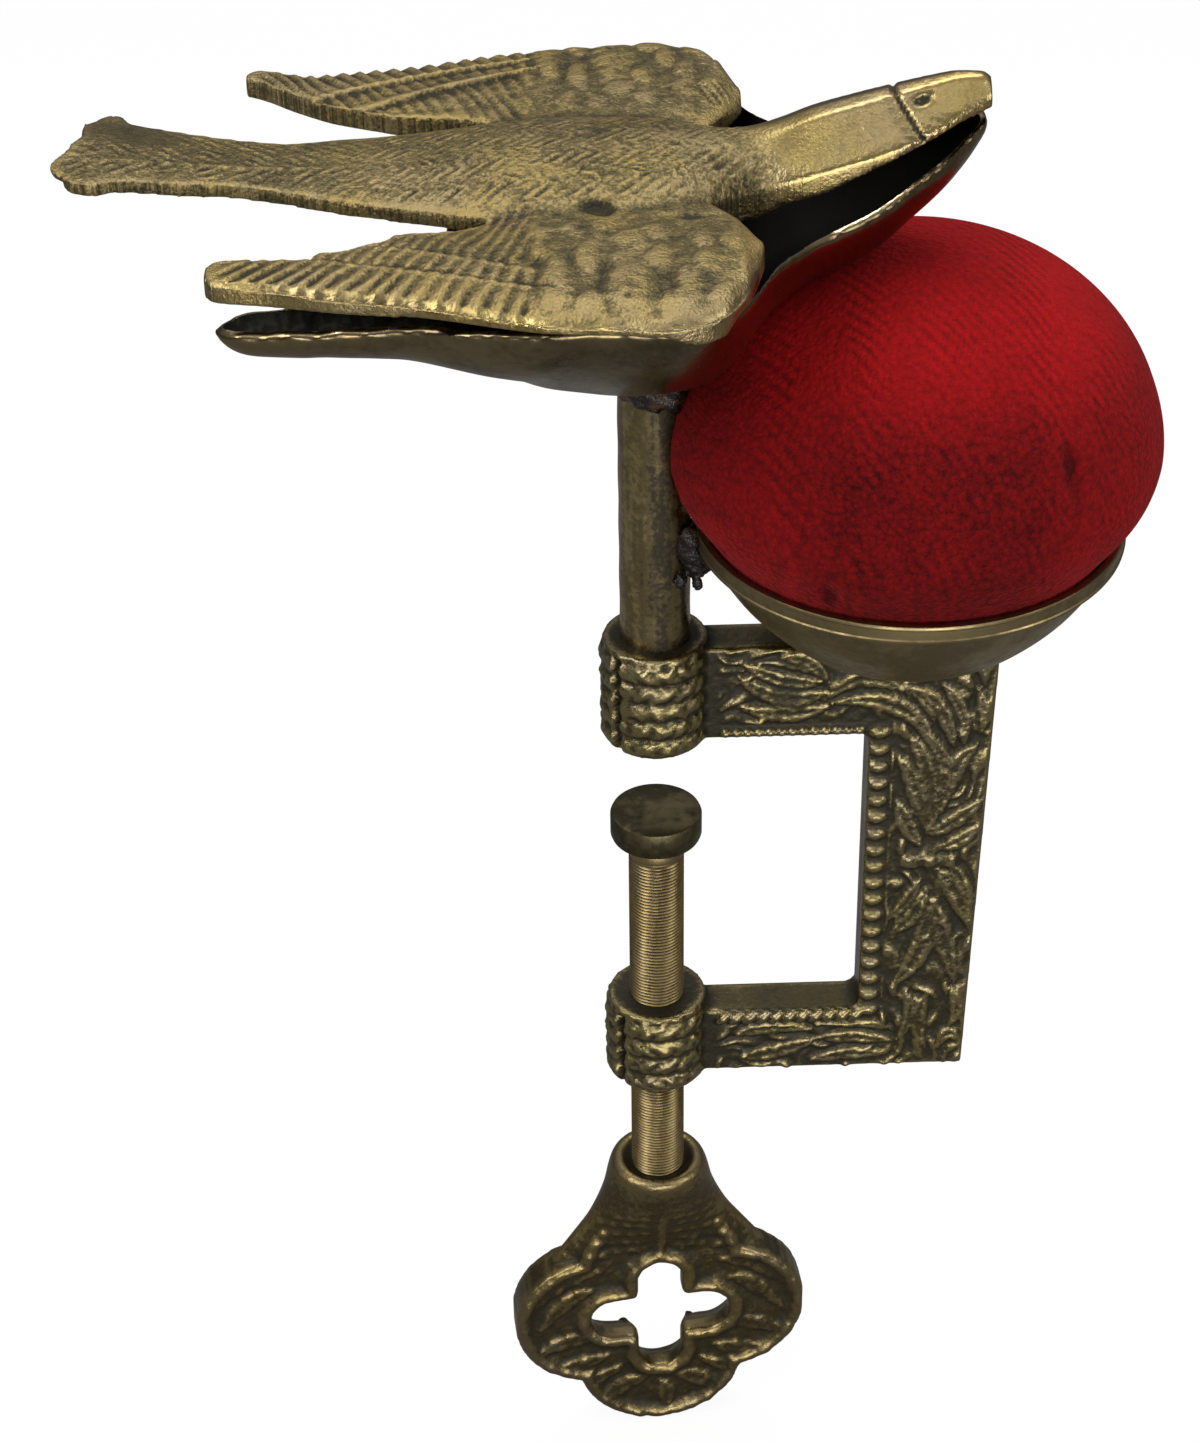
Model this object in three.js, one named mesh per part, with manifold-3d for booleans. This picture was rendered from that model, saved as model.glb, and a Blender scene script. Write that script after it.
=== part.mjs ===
// Sewing bird: a table clamp whose sprung beak holds cloth, with a pincushion in a brass cup.
// Millimetres, Z up. X runs from the tail to the beak and Y away from the front.
// The origin is the middle of the upper jaw face, on the axis of the screw and of the post.
import * as THREE from "three";
import { mergeVertices } from "three/addons/utils/BufferGeometryUtils.js";
import Module from "manifold-3d";

const wasm = await Module();
wasm.setup();

// Clearances, overruns and walls shared by several pieces

const gap = 0.3; // between pieces that touch
const overrun = 1; // by which a cutter passes a face
const weld = 0.0005; // points closer than this are one point

// Screw, pad and handle

const screwDiameter = 7;
const swivelDiameter = 3.6;
const swivelLength = 3.4;
const swivelHeadDiameter = 5;
const swivelHeadHeight = 0.9;
const padDiameter = 11.4;
const padHeight = 3.8;
const padBevel = 0.35;
const padBelowJaw = 11.9; // from the jaw face down to the pad, as photographed
const screwLength = 61.8;
const screwChamfer = 0.6;

// C-frame

const upperBossHeight = 14.3;
const lowerBossHeight = 12.3;
const bossDiameter = 12.4;
const bossRib = 0.45;
const upperBossRibs = 5;
const lowerBossRibs = 4;
const bossRim = 0.9; // plain band at the top of a boss
const notchWidth = 0.9;
const notchDepth = 1.1;
const notchTurn = 0.8; // radians from the front towards the tail side
const throatHeight = 40.9; // from the jaw face down to the lower boss
const throatDepth = 25.8; // from the screw axis to the spine
const spineWidthTop = 15.4;
const spineWidthFoot = 13.8;
const frameThickness = 6;
const upperArmHeight = 12.9;
const lowerArmHeight = 9.8;
const armDrop = 0.7; // underside of the lower boss below its arm
const armLift = 0.5; // underside of the upper arm above the jaw face
const beadDiameter = 1.9;
const beadStep = 2.55;
const beadInset = 0.9; // from the edge of the opening to the middle of the beads
const spineBeadWidth = 2.4; // the beads of the spine are short bars
const spineBeadHeight = 1.7;

// Post and its brazing

const postDiameter = 8.4;
const postSocketDepth = 9;
const postVisible = 37.7; // from the upper boss to the belly
const brazeHeight = 5.2;
const brazeSpread = 2.6;
const brazeLump = 0.5;
const brazeLumps = 5;
const brazeFront = 1.1; // radians from the beak towards the front, where the brazing hangs lowest
const brazeThinShare = 0.35; // of its height on the far side

// Cup and pincushion

const cupRimRadius = 25.2;
const cupRimAboveBoss = 16.3;
const cupWall = 0.9;
const cupBandHeight = 1.9;
const cupBandStep = 0.35;
const stayHeight = 7.5;
const stayReach = 3.1;
const cushionRadius = 28.2; // it bulges over the rim, and the post dents it
const cushionAboveRim = 33.9;
const cushionWaistAboveRim = 10.1;
const cushionCloth = 1.1;
const cushionFold = 0.35;
const cushionFolds = 19;
const cushionEase = 0.8; // between the cushion and the wall of the cup
const cushionColumns = 38;
const cushionRows = 12;
const cushionOpening = 9;
const cardThickness = 0.8;

// Bird: places along X are from the screw axis

const beakReach = 36.3;
const tailReach = 64.3;
const wingTipReach = 47;
const shoulderReach = 10.8;
const halfSpan = 35.3;
const bodyHalfWidth = 13;
const headRise = 10.2; // of the top of the head above the wings
const cheekDrop = 3.4;
const wingThickness = 2.2;
const wingCamber = 0.9;
const wingBevel = 0.8;
const featherRise = 0.35;
const covertRise = 0.4;
const featherLean = 5; // of a quill towards the head between the front and the rear edge
const castingWall = 1.9;
const primaries = 17;
const farTipSpread = 3; // the far wing's tip stands further out, as cast
const farTipShort = 1.2;
const tailNotch = 1.5;
const tailCorner = 1.6;
const tailSkew = 1.6; // by which the far lobe is shorter

// Belly shell

const shellDepth = 20.4;
const shellWall = 1.2;
const shellEdge = 0.5;
const shellRearReach = 22.5;
const shellInset = 1.3; // of its rim from the outline of the wings
const shellHalfWidth = 33.6;
const shellBeakLift = 8.1;
const dishDepth = 12.6;
const dishOverlap = 13;
const dishTip = 6;
const dishRound = 3.2; // of the end of a dish, seen from above
const dishTipInset = 0.6; // of that end from the tip of the wing
const dishFarShort = 19.5; // by which the far dish starts further forward, as photographed

// Hinge and spring

const hingeReach = 8; // behind the screw axis
const hingeBelowWing = 6;
const openAngle = 5.3 * (Math.PI / 180);
const hingePinDiameter = 2.4;
const castLugInset = 3.5;
const lugThickness = 2.4;
const lugGap = 0.4;
const lugWidth = 6.4;
const pinOverhang = 0.5;
const springWire = 0.8;
const springDiameter = 6.2;
const springTurns = 8;
const springSteps = 7; // of the sweep in each turn
const springBehindHinge = 7.4;
const spigotRadius = 1.5;
const spigotHeight = 2;

// Handle

const handleLobeRadius = 11.6;
const handleLobeOffset = 8.6;
const handleThickness = 4.8;
const handleSideHole = 3.5; // radius of the two side lobes of the hole
const handleSideHoleOffset = 6.2;
const handleEndHole = 3; // and of its top and bottom lobes
const handleEndHoleOffset = 6.9;
const handleArmEase = 0.1; // by which the arms between the lobes are narrower
const handleHeartHole = 5.1; // radius of the hole's middle, where the arms cross
const handleRimWidth = 1.7;
const handleRimRise = 0.6;
const handleTurn = 6 * (Math.PI / 180); // as photographed, left side towards the front
const neckRadius = 6.3;
const neckLip = 0.7;
const neckLength = 17.5;
const neckSpread = 15;
const handleBelowSocket = 28.1; // from the top of the socket to the middle of the four lobes
const socketDepth = 8;
const handlePinDiameter = 1.8;
const handlePinDrop = 4.5;

// Levels worked out from the sizes above

const bossTop = upperBossHeight;
const lowerBossTop = -throatHeight;
const padTop = -padBelowJaw;
const bellyBottom = bossTop + postVisible;
const wingUnder = bellyBottom + shellDepth + gap;
const wingTop = wingUnder + wingThickness;
const cupX = postDiameter / 2 + gap + cupRimRadius; // the rim touches the post
const cupRim = bossTop + cupRimAboveBoss;
const cupFloor = armLift + upperArmHeight + gap; // the cup stands on the upper arm
const cupDepth = cupRim - cupFloor;
const hingeZ = wingTop - hingeBelowWing;
const screwTop = padTop - padHeight;
const socketTop = screwTop - screwLength + socketDepth;

// Geometry to solids and back

function solid(geometry) {
  const loose = geometry.index ? geometry.toNonIndexed() : geometry;
  const flat = new THREE.BufferGeometry().setAttribute("position", loose.getAttribute("position"));
  const merged = mergeVertices(flat, weld);
  return new wasm.Manifold(
    new wasm.Mesh({
      numProp: 3,
      vertProperties: merged.attributes.position.array,
      triVerts: new Uint32Array(merged.index.array),
    }),
  );
}

function geometryOf(manifold) {
  const mesh = manifold.getMesh();
  const at = new Float32Array(mesh.numVert * 3);
  for (let i = 0; i < mesh.numVert; i++)
    at.set(mesh.vertProperties.subarray(i * mesh.numProp, i * mesh.numProp + 3), i * 3);
  const geometry = new THREE.BufferGeometry();
  geometry.setAttribute("position", new THREE.BufferAttribute(at, 3));
  geometry.setIndex(new THREE.BufferAttribute(new Uint32Array(mesh.triVerts), 1));
  return geometry.toNonIndexed();
}

const joined = (shapes) => shapes.reduce((a, b) => a.add(b));

// A closed body between an upper and a lower net of points with the same rows and columns
function sheet(top, under) {
  const faces = [];
  const quad = (a, b, c, d) => faces.push(...a, ...b, ...c, ...a, ...c, ...d);
  const lastRow = top.length - 1;
  const lastColumn = top[0].length - 1;
  for (let i = 0; i < lastRow; i++) {
    for (let j = 0; j < lastColumn; j++) {
      quad(top[i][j], top[i + 1][j], top[i + 1][j + 1], top[i][j + 1]);
      quad(under[i][j], under[i][j + 1], under[i + 1][j + 1], under[i + 1][j]);
    }
    quad(under[i][0], under[i + 1][0], top[i + 1][0], top[i][0]);
    quad(under[i + 1][lastColumn], under[i][lastColumn], top[i][lastColumn], top[i + 1][lastColumn]);
  }
  for (let j = 0; j < lastColumn; j++) {
    quad(under[0][j + 1], under[0][j], top[0][j], top[0][j + 1]);
    quad(under[lastRow][j], under[lastRow][j + 1], top[lastRow][j + 1], top[lastRow][j]);
  }
  const geometry = new THREE.BufferGeometry();
  geometry.setAttribute("position", new THREE.Float32BufferAttribute(faces, 3));
  return geometry;
}

// A smooth value through a table of [place, value] pairs that never overshoots them
function through(table) {
  const slopes = table.slice(1).map((p, i) => (p[1] - table[i][1]) / (p[0] - table[i][0]));
  const ends = [slopes[0], ...slopes.slice(1).map((s, i) => {
    const before = slopes[i];
    return s * before <= 0 ? 0 : (2 * s * before) / (s + before);
  }), slopes[slopes.length - 1]];
  return (place) => {
    const at = Math.min(Math.max(place, table[0][0]), table[table.length - 1][0]);
    let k = 0;
    while (k < slopes.length - 1 && at > table[k + 1][0]) k++;
    const span = table[k + 1][0] - table[k][0];
    const t = (at - table[k][0]) / span;
    const rise = table[k + 1][1] - table[k][1];
    const bend = ends[k] * span * t * (1 - t) * (1 - t) - ends[k + 1] * span * t * t * (1 - t);
    return table[k][1] + rise * t * t * (3 - 2 * t) + bend;
  };
}

// A closed body between an upper net and the flat level under it
function slab(top, level) {
  const faces = [];
  const quad = (a, b, c, d) => faces.push(...a, ...b, ...c, ...a, ...c, ...d);
  const lastRow = top.length - 1;
  const lastColumn = top[0].length - 1;
  const foot = (i, j) => [top[i][j][0], top[i][j][1], level];
  for (let i = 0; i < lastRow; i++) {
    for (let j = 0; j < lastColumn; j++)
      quad(top[i][j], top[i + 1][j], top[i + 1][j + 1], top[i][j + 1]);
    quad(foot(i, 0), foot(i, lastColumn), foot(i + 1, lastColumn), foot(i + 1, 0));
    quad(foot(i, 0), foot(i + 1, 0), top[i + 1][0], top[i][0]);
    quad(foot(i + 1, lastColumn), foot(i, lastColumn), top[i][lastColumn], top[i + 1][lastColumn]);
  }
  for (let j = 0; j < lastColumn; j++) {
    faces.push(...foot(0, 0), ...top[0][j], ...top[0][j + 1]);
    faces.push(...foot(lastRow, 0), ...top[lastRow][j + 1], ...top[lastRow][j]);
  }
  faces.push(...foot(0, 0), ...top[0][lastColumn], ...foot(0, lastColumn));
  faces.push(...foot(lastRow, 0), ...foot(lastRow, lastColumn), ...top[lastRow][lastColumn]);
  const geometry = new THREE.BufferGeometry();
  geometry.setAttribute("position", new THREE.Float32BufferAttribute(faces, 3));
  return geometry;
}

function steps(from, to, count) {
  return Array.from({ length: count + 1 }, (_, i) => from + ((to - from) * i) / count);
}

const smooth = (a, b, v) => {
  const t = Math.min(Math.max((v - a) / (b - a), 0), 1);
  return t * t * (3 - 2 * t);
};

// A turned body that is closed on its axis at both ends
function spindle(profile, segments) {
  const points = profile.map(([r, z]) => new THREE.Vector2(r, z));
  return new THREE.LatheGeometry(points, segments).rotateX(Math.PI / 2);
}

function box(x0, x1, y0, y1, z0, z1) {
  return new THREE.BoxGeometry(x1 - x0, y1 - y0, z1 - z0)
    .translate((x0 + x1) / 2, (y0 + y1) / 2, (z0 + z1) / 2);
}

const block = (...sides) => solid(box(...sides));

function rodSolid(radius, z0, z1, segments, x = 0) {
  return solid(spindle([[0, z0], [radius, z0], [radius, z1], [0, z1]], segments).translate(x, 0, 0));
}

// A round bar along Y
function crossBar(radius, y0, y1, x, z, segments) {
  return solid(
    new THREE.CylinderGeometry(radius, radius, y1 - y0, segments).translate(x, (y0 + y1) / 2, z),
  );
}

const part = new THREE.Group();
const brass = { color: 0xa98c4a, metalness: 0.9, roughness: 0.38 };
const polished = { color: 0xb79a55, metalness: 0.9, roughness: 0.22 };
const dark = { color: 0x2b211b, metalness: 0.4, roughness: 0.6 };
const steel = { color: 0x8b8b88, metalness: 0.9, roughness: 0.35 };
const velvet = { color: 0xb0080f, metalness: 0, roughness: 0.95 };
const filling = { color: 0xd8d0c0, metalness: 0, roughness: 1 };
const board = { color: 0x9a8568, metalness: 0, roughness: 0.9 };

function piece(name, shape, finish, holder = part) {
  const geometry = shape.isBufferGeometry ? shape : geometryOf(shape);
  geometry.computeVertexNormals();
  const mesh = new THREE.Mesh(geometry, new THREE.MeshStandardMaterial(finish));
  mesh.name = name;
  holder.add(mesh);
}

// C-frame: arms and spine from one outline, ribbed bosses, beads along the opening

function boss(top, height, ribs) {
  const radius = bossDiameter / 2;
  const profile = [[0, top - height], [radius, top - height]];
  const ribbed = height - bossRim;
  for (let i = 0; i < ribs; i++) {
    const low = top - height + (ribbed * i) / ribs;
    profile.push([radius + bossRib, low + ribbed / ribs / 3]);
    profile.push([radius + bossRib, low + (2 * ribbed) / ribs / 3]);
    profile.push([radius, low + ribbed / ribs]);
  }
  profile.push([radius, top], [0, top]);
  const notch = box(
    -notchWidth / 2, notchWidth / 2,
    -radius - overrun, -radius + notchDepth,
    top - height - overrun, top - bossRim,
  ).rotateZ(-notchTurn);
  return solid(spindle(profile, 24)).subtract(solid(notch));
}

function frameOutline(inset) {
  const top = armLift + upperArmHeight - inset;
  const foot = lowerBossTop - lowerBossHeight + armDrop + inset;
  const outline = new THREE.Shape();
  outline.moveTo(0, top);
  outline.lineTo(throatDepth + spineWidthTop - inset, top);
  outline.lineTo(throatDepth + spineWidthFoot - inset, foot);
  outline.lineTo(0, foot);
  outline.lineTo(0, foot + lowerArmHeight - 2 * inset);
  outline.lineTo(throatDepth + inset, foot + lowerArmHeight - 2 * inset);
  outline.lineTo(throatDepth + inset, armLift + inset);
  outline.lineTo(0, armLift + inset);
  return outline;
}

function flatBody(outline, y0, y1, options = {}) {
  return solid(
    new THREE.ExtrudeGeometry(outline, { depth: y1 - y0, bevelEnabled: false, ...options })
      .rotateX(Math.PI / 2)
      .translate(0, y1, 0),
  );
}

function bead(x, z, width, height) {
  return solid(
    new THREE.SphereGeometry(1, 6, 4)
      .rotateX(Math.PI / 2)
      .scale(width / 2, beadDiameter / 2, height / 2)
      .translate(x, -frameThickness / 2, z),
  );
}

function cFrame() {
  const half = frameThickness / 2;
  const foot = lowerBossTop - lowerBossHeight + armDrop;
  const body = flatBody(frameOutline(0), -half, half);
  const inner = throatDepth + beadInset;
  const lowEdge = foot + lowerArmHeight - beadInset;
  const highEdge = armLift + beadInset;
  const beads = [];
  const down = Math.round((highEdge - lowEdge) / beadStep);
  for (let i = 0; i <= down; i++) {
    const x = throatDepth + spineBeadWidth / 2;
    beads.push(bead(x, highEdge - ((highEdge - lowEdge) * i) / down, spineBeadWidth, spineBeadHeight));
  }
  const first = bossDiameter / 2 + beadStep;
  const along = Math.round((inner - first) / beadStep);
  for (let i = 0; i < along; i++) {
    const x = first + ((inner - first) * i) / along;
    for (const z of [highEdge, lowEdge]) beads.push(bead(x, z, beadDiameter, beadDiameter));
  }
  const socket = rodSolid(postDiameter / 2 + gap, bossTop - postSocketDepth, bossTop + overrun, 24);
  const thread = rodSolid(
    screwDiameter / 2 + gap, lowerBossTop - lowerBossHeight - overrun, lowerBossTop + overrun, 24,
  );
  const throat = rodSolid(bossDiameter / 2 + bossRib + overrun, lowerBossTop, 0, 24);
  return joined([body, ...beads])
    .subtract(throat)
    .add(boss(bossTop, upperBossHeight, upperBossRibs))
    .add(boss(lowerBossTop, lowerBossHeight, lowerBossRibs))
    .subtract(socket)
    .subtract(thread);
}

// Belly shell: a bowl under the body that narrows into the lower beak, and a dish under each wing

const shellLength = shellRearReach + beakReach;
const shellWidthShares = [
  [0, 0.89], [0.077, 0.925], [0.18, 0.96], [0.3, 0.98], [0.385, 1], [0.42, 0.99], [0.47, 0.95], [0.53, 0.83],
  [0.564, 0.7], [0.59, 0.595], [0.632, 0.5], [0.684, 0.4], [0.77, 0.3], [0.855, 0.21], [0.915, 0.14],
  [0.966, 0.09], [1, 0.045],
];
const shellDepthShares = [
  [0, 0.36], [0.045, 0.585], [0.095, 0.76], [0.19, 0.93], [0.31, 1], [0.45, 0.95], [0.505, 0.86],
  [0.56, 0.68], [0.6, 0.6], [0.675, 0.475], [0.77, 0.435], [0.865, 0.33], [0.96, 0.21], [1, 0.1],
];
const shellLiftShares = [
  [0, 0], [0.68, 0], [0.77, 0.09], [0.855, 0.345], [0.915, 0.555], [0.966, 0.83], [1, 1],
];
const bowlShare = 0.76;
const dishShare = 0.7;
const shellWidthAt = through(shellWidthShares);
const shellDepthAt = through(shellDepthShares);
const shellLiftAt = through(shellLiftShares);

// Height of the rim: shut on the upper casting as far back as the hinge, then falling by the beak's travel
const rimAt = (x) =>
  wingUnder - gap
  + shellBeakLift * shellLiftAt((x + shellRearReach) / shellLength)
  - Math.tan(openAngle) * Math.max(0, -hingeReach - x);

function bowl(wall, lid, drop = 0) {
  const columns = steps(-1, 1, 12);
  const places = steps(0, 1, 17).map((s) => 1 - (1 - s) ** 1.15);
  const top = [];
  const under = [];
  for (const s of places) {
    const x = -shellRearReach + wall + (shellLength - (wall ? 2 * wall : 0)) * s;
    const share = (x + shellRearReach) / shellLength;
    const half = Math.max(shellHalfWidth * shellWidthAt(share) - wall, shellEdge);
    const depth = Math.max(shellDepth * shellDepthAt(share) - shellEdge - wall, shellEdge);
    const rim = rimAt(x);
    top.push(columns.map((t) => [x, half * t, rim + lid]));
    under.push(columns.map((t) => [x, half * t, rim - shellEdge - depth * (1 - t * t) ** bowlShare]));
  }
  return solid(sheet(top, under).translate(0, 0, -drop));
}

// Upper casting: shares of the wing's length along X and of the half span across
const wingLength = wingTipReach + shoulderReach;
const wingOuterShares = [
  [0, 0.7], [0.017, 0.735], [0.052, 0.748], [0.104, 0.757], [0.231, 0.789], [0.363, 0.829], [0.432, 0.865],
  [0.492, 0.901], [0.553, 0.935], [0.61, 0.96], [0.725, 0.978], [0.812, 1], [0.88, 0.975], [0.924, 0.92],
  [0.955, 0.84], [0.976, 0.75], [0.99, 0.66], [1, 0.59],
];
const wingInnerShares = [
  [0, 0.64], [0.017, 0.6], [0.052, 0.588], [0.185, 0.577], [0.195, 0.53], [0.231, 0.52], [0.294, 0.465],
  [0.322, 0.447], [0.332, 0.413], [0.432, 0.397], [0.492, 0.36], [0.553, 0.25], [0.61, 0.17], [0.85, 0.12],
  [0.9, 0.22], [0.94, 0.32], [0.972, 0.4], [0.99, 0.46], [1, 0.5],
];
const wingOuterAt = through(wingOuterShares);
const wingInnerAt = through(wingInnerShares);

const dishRows = [0, 0.012, 0.04, 0.1, 0.22, 0.36, 0.52, 0.68, 0.82, 1];
const dishStartShare = 0.3; // of its full depth, at the tip of the wing
const dishTipShare = 0.45;
const dishEndShare = 0.7;

function dish(side, wall, lid) {
  const columns = steps(0, 1, 6);
  const start = -wingTipReach + (side > 0 ? dishFarShort : 0);
  const from = start + dishTipInset + wall;
  const to = -shellRearReach + dishOverlap;
  const top = [];
  const under = [];
  for (const row of dishRows) {
    const x = from + (to - from) * row;
    const share = (x + wingTipReach) / wingLength;
    const near = Math.min((x - from + dishTipInset / 2) / dishRound, 1);
    const round = Math.sqrt(near * (2 - near));
    const front = halfSpan * wingOuterAt(share) - shellInset - wall;
    const rear = Math.min(halfSpan * wingInnerAt(share) + shellInset / 2 + wall, front - shellEdge);
    const outer = (front + rear) / 2 + ((front - rear) / 2) * round;
    const inner = Math.min((front + rear) / 2 - ((front - rear) / 2) * round, outer - shellEdge);
    const run = (x + wingTipReach) / (to + wingTipReach);
    const tip = Math.min((x - start) / dishTip, 1);
    const swell = dishStartShare + (1 - dishStartShare) * run * run;
    const full = dishDepth * swell * (1 - (1 - dishEndShare) * smooth(0.88, 1, run));
    const rounded = dishTipShare + (1 - dishTipShare) * tip * (2 - tip);
    const depth = Math.max(full * rounded * (0.5 + 0.5 * round) - shellEdge - wall, shellEdge);
    const rim = rimAt(x);
    const places = columns.map((t) => (side > 0 ? inner : -outer) + (outer - inner) * t);
    top.push(places.map((y) => [x, y, rim + lid]));
    under.push(places.map((y, j) => {
      const across = 4 * columns[j] * (1 - columns[j]);
      return [x, y, rim - shellEdge - depth * across ** dishShare];
    }));
  }
  return solid(sheet(top, under));
}

function bellyShell() {
  const outer = joined([bowl(0, 0), dish(1, 0, 0), dish(-1, 0, 0)]);
  const rooms = [1, -1].map((side) => dish(side, shellWall, overrun));
  const hollow = joined([bowl(shellWall, overrun), ...rooms]);
  const inside = castLugInset + lugThickness + lugGap;
  const lugs = [1, -1].map((side) => {
    const y0 = side > 0 ? inside : -inside - lugThickness;
    return block(
      -hingeReach - lugWidth / 2, -hingeReach + lugWidth / 2, y0, y0 + lugThickness,
      bellyBottom - overrun, hingeZ + lugWidth / 2,
    );
  });
  const springX = -hingeReach - springBehindHinge;
  const floor = springFloor();
  const spigot = rodSolid(spigotRadius, floor - shellWall, floor + spigotHeight, 12, springX);
  const foot = rodSolid(springDiameter / 2 + gap, floor - 2 * shellWall, floor, 16, springX);
  const bore = crossBar(
    hingePinDiameter / 2 + gap, -inside - lugThickness - overrun, inside + lugThickness + overrun,
    -hingeReach, hingeZ, 14,
  );
  const fittings = joined([...lugs, spigot, foot]).intersect(outer);
  return outer.subtract(hollow).add(fittings).subtract(bore);
}

// Level of the flat that the spring stands on, just above the curved floor
function springFloor() {
  const x = -hingeReach - springBehindHinge;
  const share = (x + shellRearReach) / shellLength;
  return rimAt(x) - shellDepth * shellDepthAt(share) + 2 * shellWall;
}

// Shares along the bird, and of its half width, head rise and cheek drop
const birdLength = tailReach + beakReach;
const bodyWidthShares = [
  [0, 0.56], [0.01, 0.64], [0.03, 0.68], [0.073, 0.555], [0.142, 0.49], [0.192, 0.445], [0.242, 0.47],
  [0.291, 0.58], [0.346, 0.68], [0.4, 0.785], [0.445, 0.885], [0.49, 0.96], [0.54, 1], [0.64, 0.93],
  [0.689, 0.74], [0.719, 0.55], [0.749, 0.45], [0.813, 0.46], [0.858, 0.45], [0.898, 0.42], [0.918, 0.385],
  [0.937, 0.355], [0.967, 0.27], [1, 0.17],
];
const ridgeShares = [
  [0, 0.41], [0.073, 0.354], [0.142, 0.266], [0.192, 0.204], [0.242, 0.157], [0.291, 0.138], [0.346, 0.147],
  [0.4, 0.184], [0.445, 0.235], [0.49, 0.276], [0.54, 0.304], [0.64, 0.322], [0.689, 0.332], [0.719, 0.355],
  [0.749, 0.405], [0.778, 0.498], [0.813, 0.636], [0.858, 0.76], [0.898, 0.86], [0.937, 0.95], [0.967, 1],
  [0.99, 0.995], [1, 0.935],
];
const sideShares = [
  [0, 0.392], [0.073, 0.322], [0.142, 0.224], [0.192, 0.168], [0.242, 0.097], [0.291, 0.06], [0.346, 0.028],
  [0.445, 0], [0.64, 0], [0.719, -0.046], [0.749, -0.028], [0.778, 0.05], [0.813, 0.15], [0.858, 0.27],
  [0.898, 0.39], [0.937, 0.54], [0.967, 0.68], [1, 0.79],
];
const cheekShares = [
  [0, 0.44], [0.445, 0.5], [0.54, 0.65], [0.64, 0.71], [0.719, 1], [0.749, 1], [0.778, 0.8], [0.813, 0.8],
  [0.858, 0.55], [0.898, 0.38], [0.937, 0.3], [1, 0.36],
];
const bodyWidthAt = through(bodyWidthShares);
const ridgeAt = through(ridgeShares);
const sideAt = through(sideShares);
const cheekAt = through(cheekShares);
const acrossShares = [0, 0.15, 0.3, 0.5, 0.7, 0.85, 1];
const facetShares = [[0, 1], [0.3, 0.92], [0.85, 0.22], [1, 0]];
const headStartShare = 0.74;
const headFullShare = 0.82;

// Height of the body's upper face: a rounded back that turns into the flat facets of the head
function backAt(s, t) {
  const side = headRise * sideAt(s);
  const ridge = headRise * ridgeAt(s);
  const round = (1 - t * t) ** 0.85;
  let k = 0;
  while (k < 2 && t > facetShares[k + 1][0]) k++;
  const [a, b] = [facetShares[k], facetShares[k + 1]];
  const facet = a[1] + ((b[1] - a[1]) * (t - a[0])) / (b[0] - a[0]);
  const mix = smooth(headStartShare, headFullShare, s);
  return wingTop + side + (ridge - side) * (round + (facet - round) * mix);
}

// How far the end of the tail lies back from its two rounded lobes
const tailEndShare = 0.09;
const lobeShare = 0.65;
function tailEndAt(t) {
  const aside = Math.abs(t) - lobeShare;
  const skew = tailSkew * smooth(0, lobeShare, t);
  if (aside < 0) return skew + tailNotch * Math.sin(((Math.PI / 2) * aside) / lobeShare) ** 2;
  return skew + tailCorner * (1 - Math.sqrt(1 - (aside / (1 - lobeShare)) ** 2));
}

function bodyCasting() {
  const across = [...acrossShares.slice(1).reverse().map((t) => -t), ...acrossShares];
  const top = [];
  const under = [];
  for (const s of steps(0, 1, 34)) {
    const at = -tailReach + birdLength * s;
    const inTail = 1 - smooth(0, tailEndShare, s);
    const half = bodyHalfWidth * bodyWidthAt(s);
    const low = wingTop + headRise * sideAt(s) - cheekDrop * cheekAt(s);
    const wall = Math.min(castingWall, half / 2);
    const upper = across.map((t) => [at + inTail * tailEndAt(t), half * t, backAt(s, Math.abs(t))]);
    const hollow = smooth(0.3, 0.42, s) * (1 - smooth(0.93, 0.985, s));
    const inner = across.map((t) => {
      const ceiling = backAt(s, Math.abs(t)) - castingWall;
      const flat = low + gap * (1 - t * t);
      const z = Math.max(flat, flat + (ceiling - flat) * hollow);
      return [at + inTail * tailEndAt(t), (half - wall) * t, z];
    });
    const corner = at + inTail * tailEndAt(1);
    top.push([[corner, -half, low], ...upper, [corner, half, low]]);
    under.push([[corner, wall - half, low], ...inner, [corner, half - wall, low]]);
  }
  return solid(sheet(top, under));
}

// Feathers of a wing: v runs from its rear edge at 0 to its front rim at 1, and each quill has three lines
const quillEndShare = 0.62;
const quillShares = [[0, -1], [0.3, 0.7], [0.7, 1]];
const covertPlaces = [[0, -0.6], [0.3, 0.8], [0.65, 0.6]];
const covertRows = 4;
const rowShares = [0, 0.1, 0.28, 0.46, 0.52, 0.58, 0.72, 0.86, 0.94, 1];
const seamShare = 0.52;

function reliefAt(s, v, rise) {
  const inland = smooth(0, 0.1, v) * (1 - smooth(0.86, 0.93, v));
  const seam = featherRise * Math.exp(-(((v - seamShare) / 0.04) ** 2));
  if (s <= quillEndShare) return inland * smooth(0, 0.05, s) * (featherRise * rise - seam);
  return inland * covertRise * rise * Math.cos(2 * Math.PI * (v * 3 + 0.25)) * (1 - smooth(0.93, 1, s));
}

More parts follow.
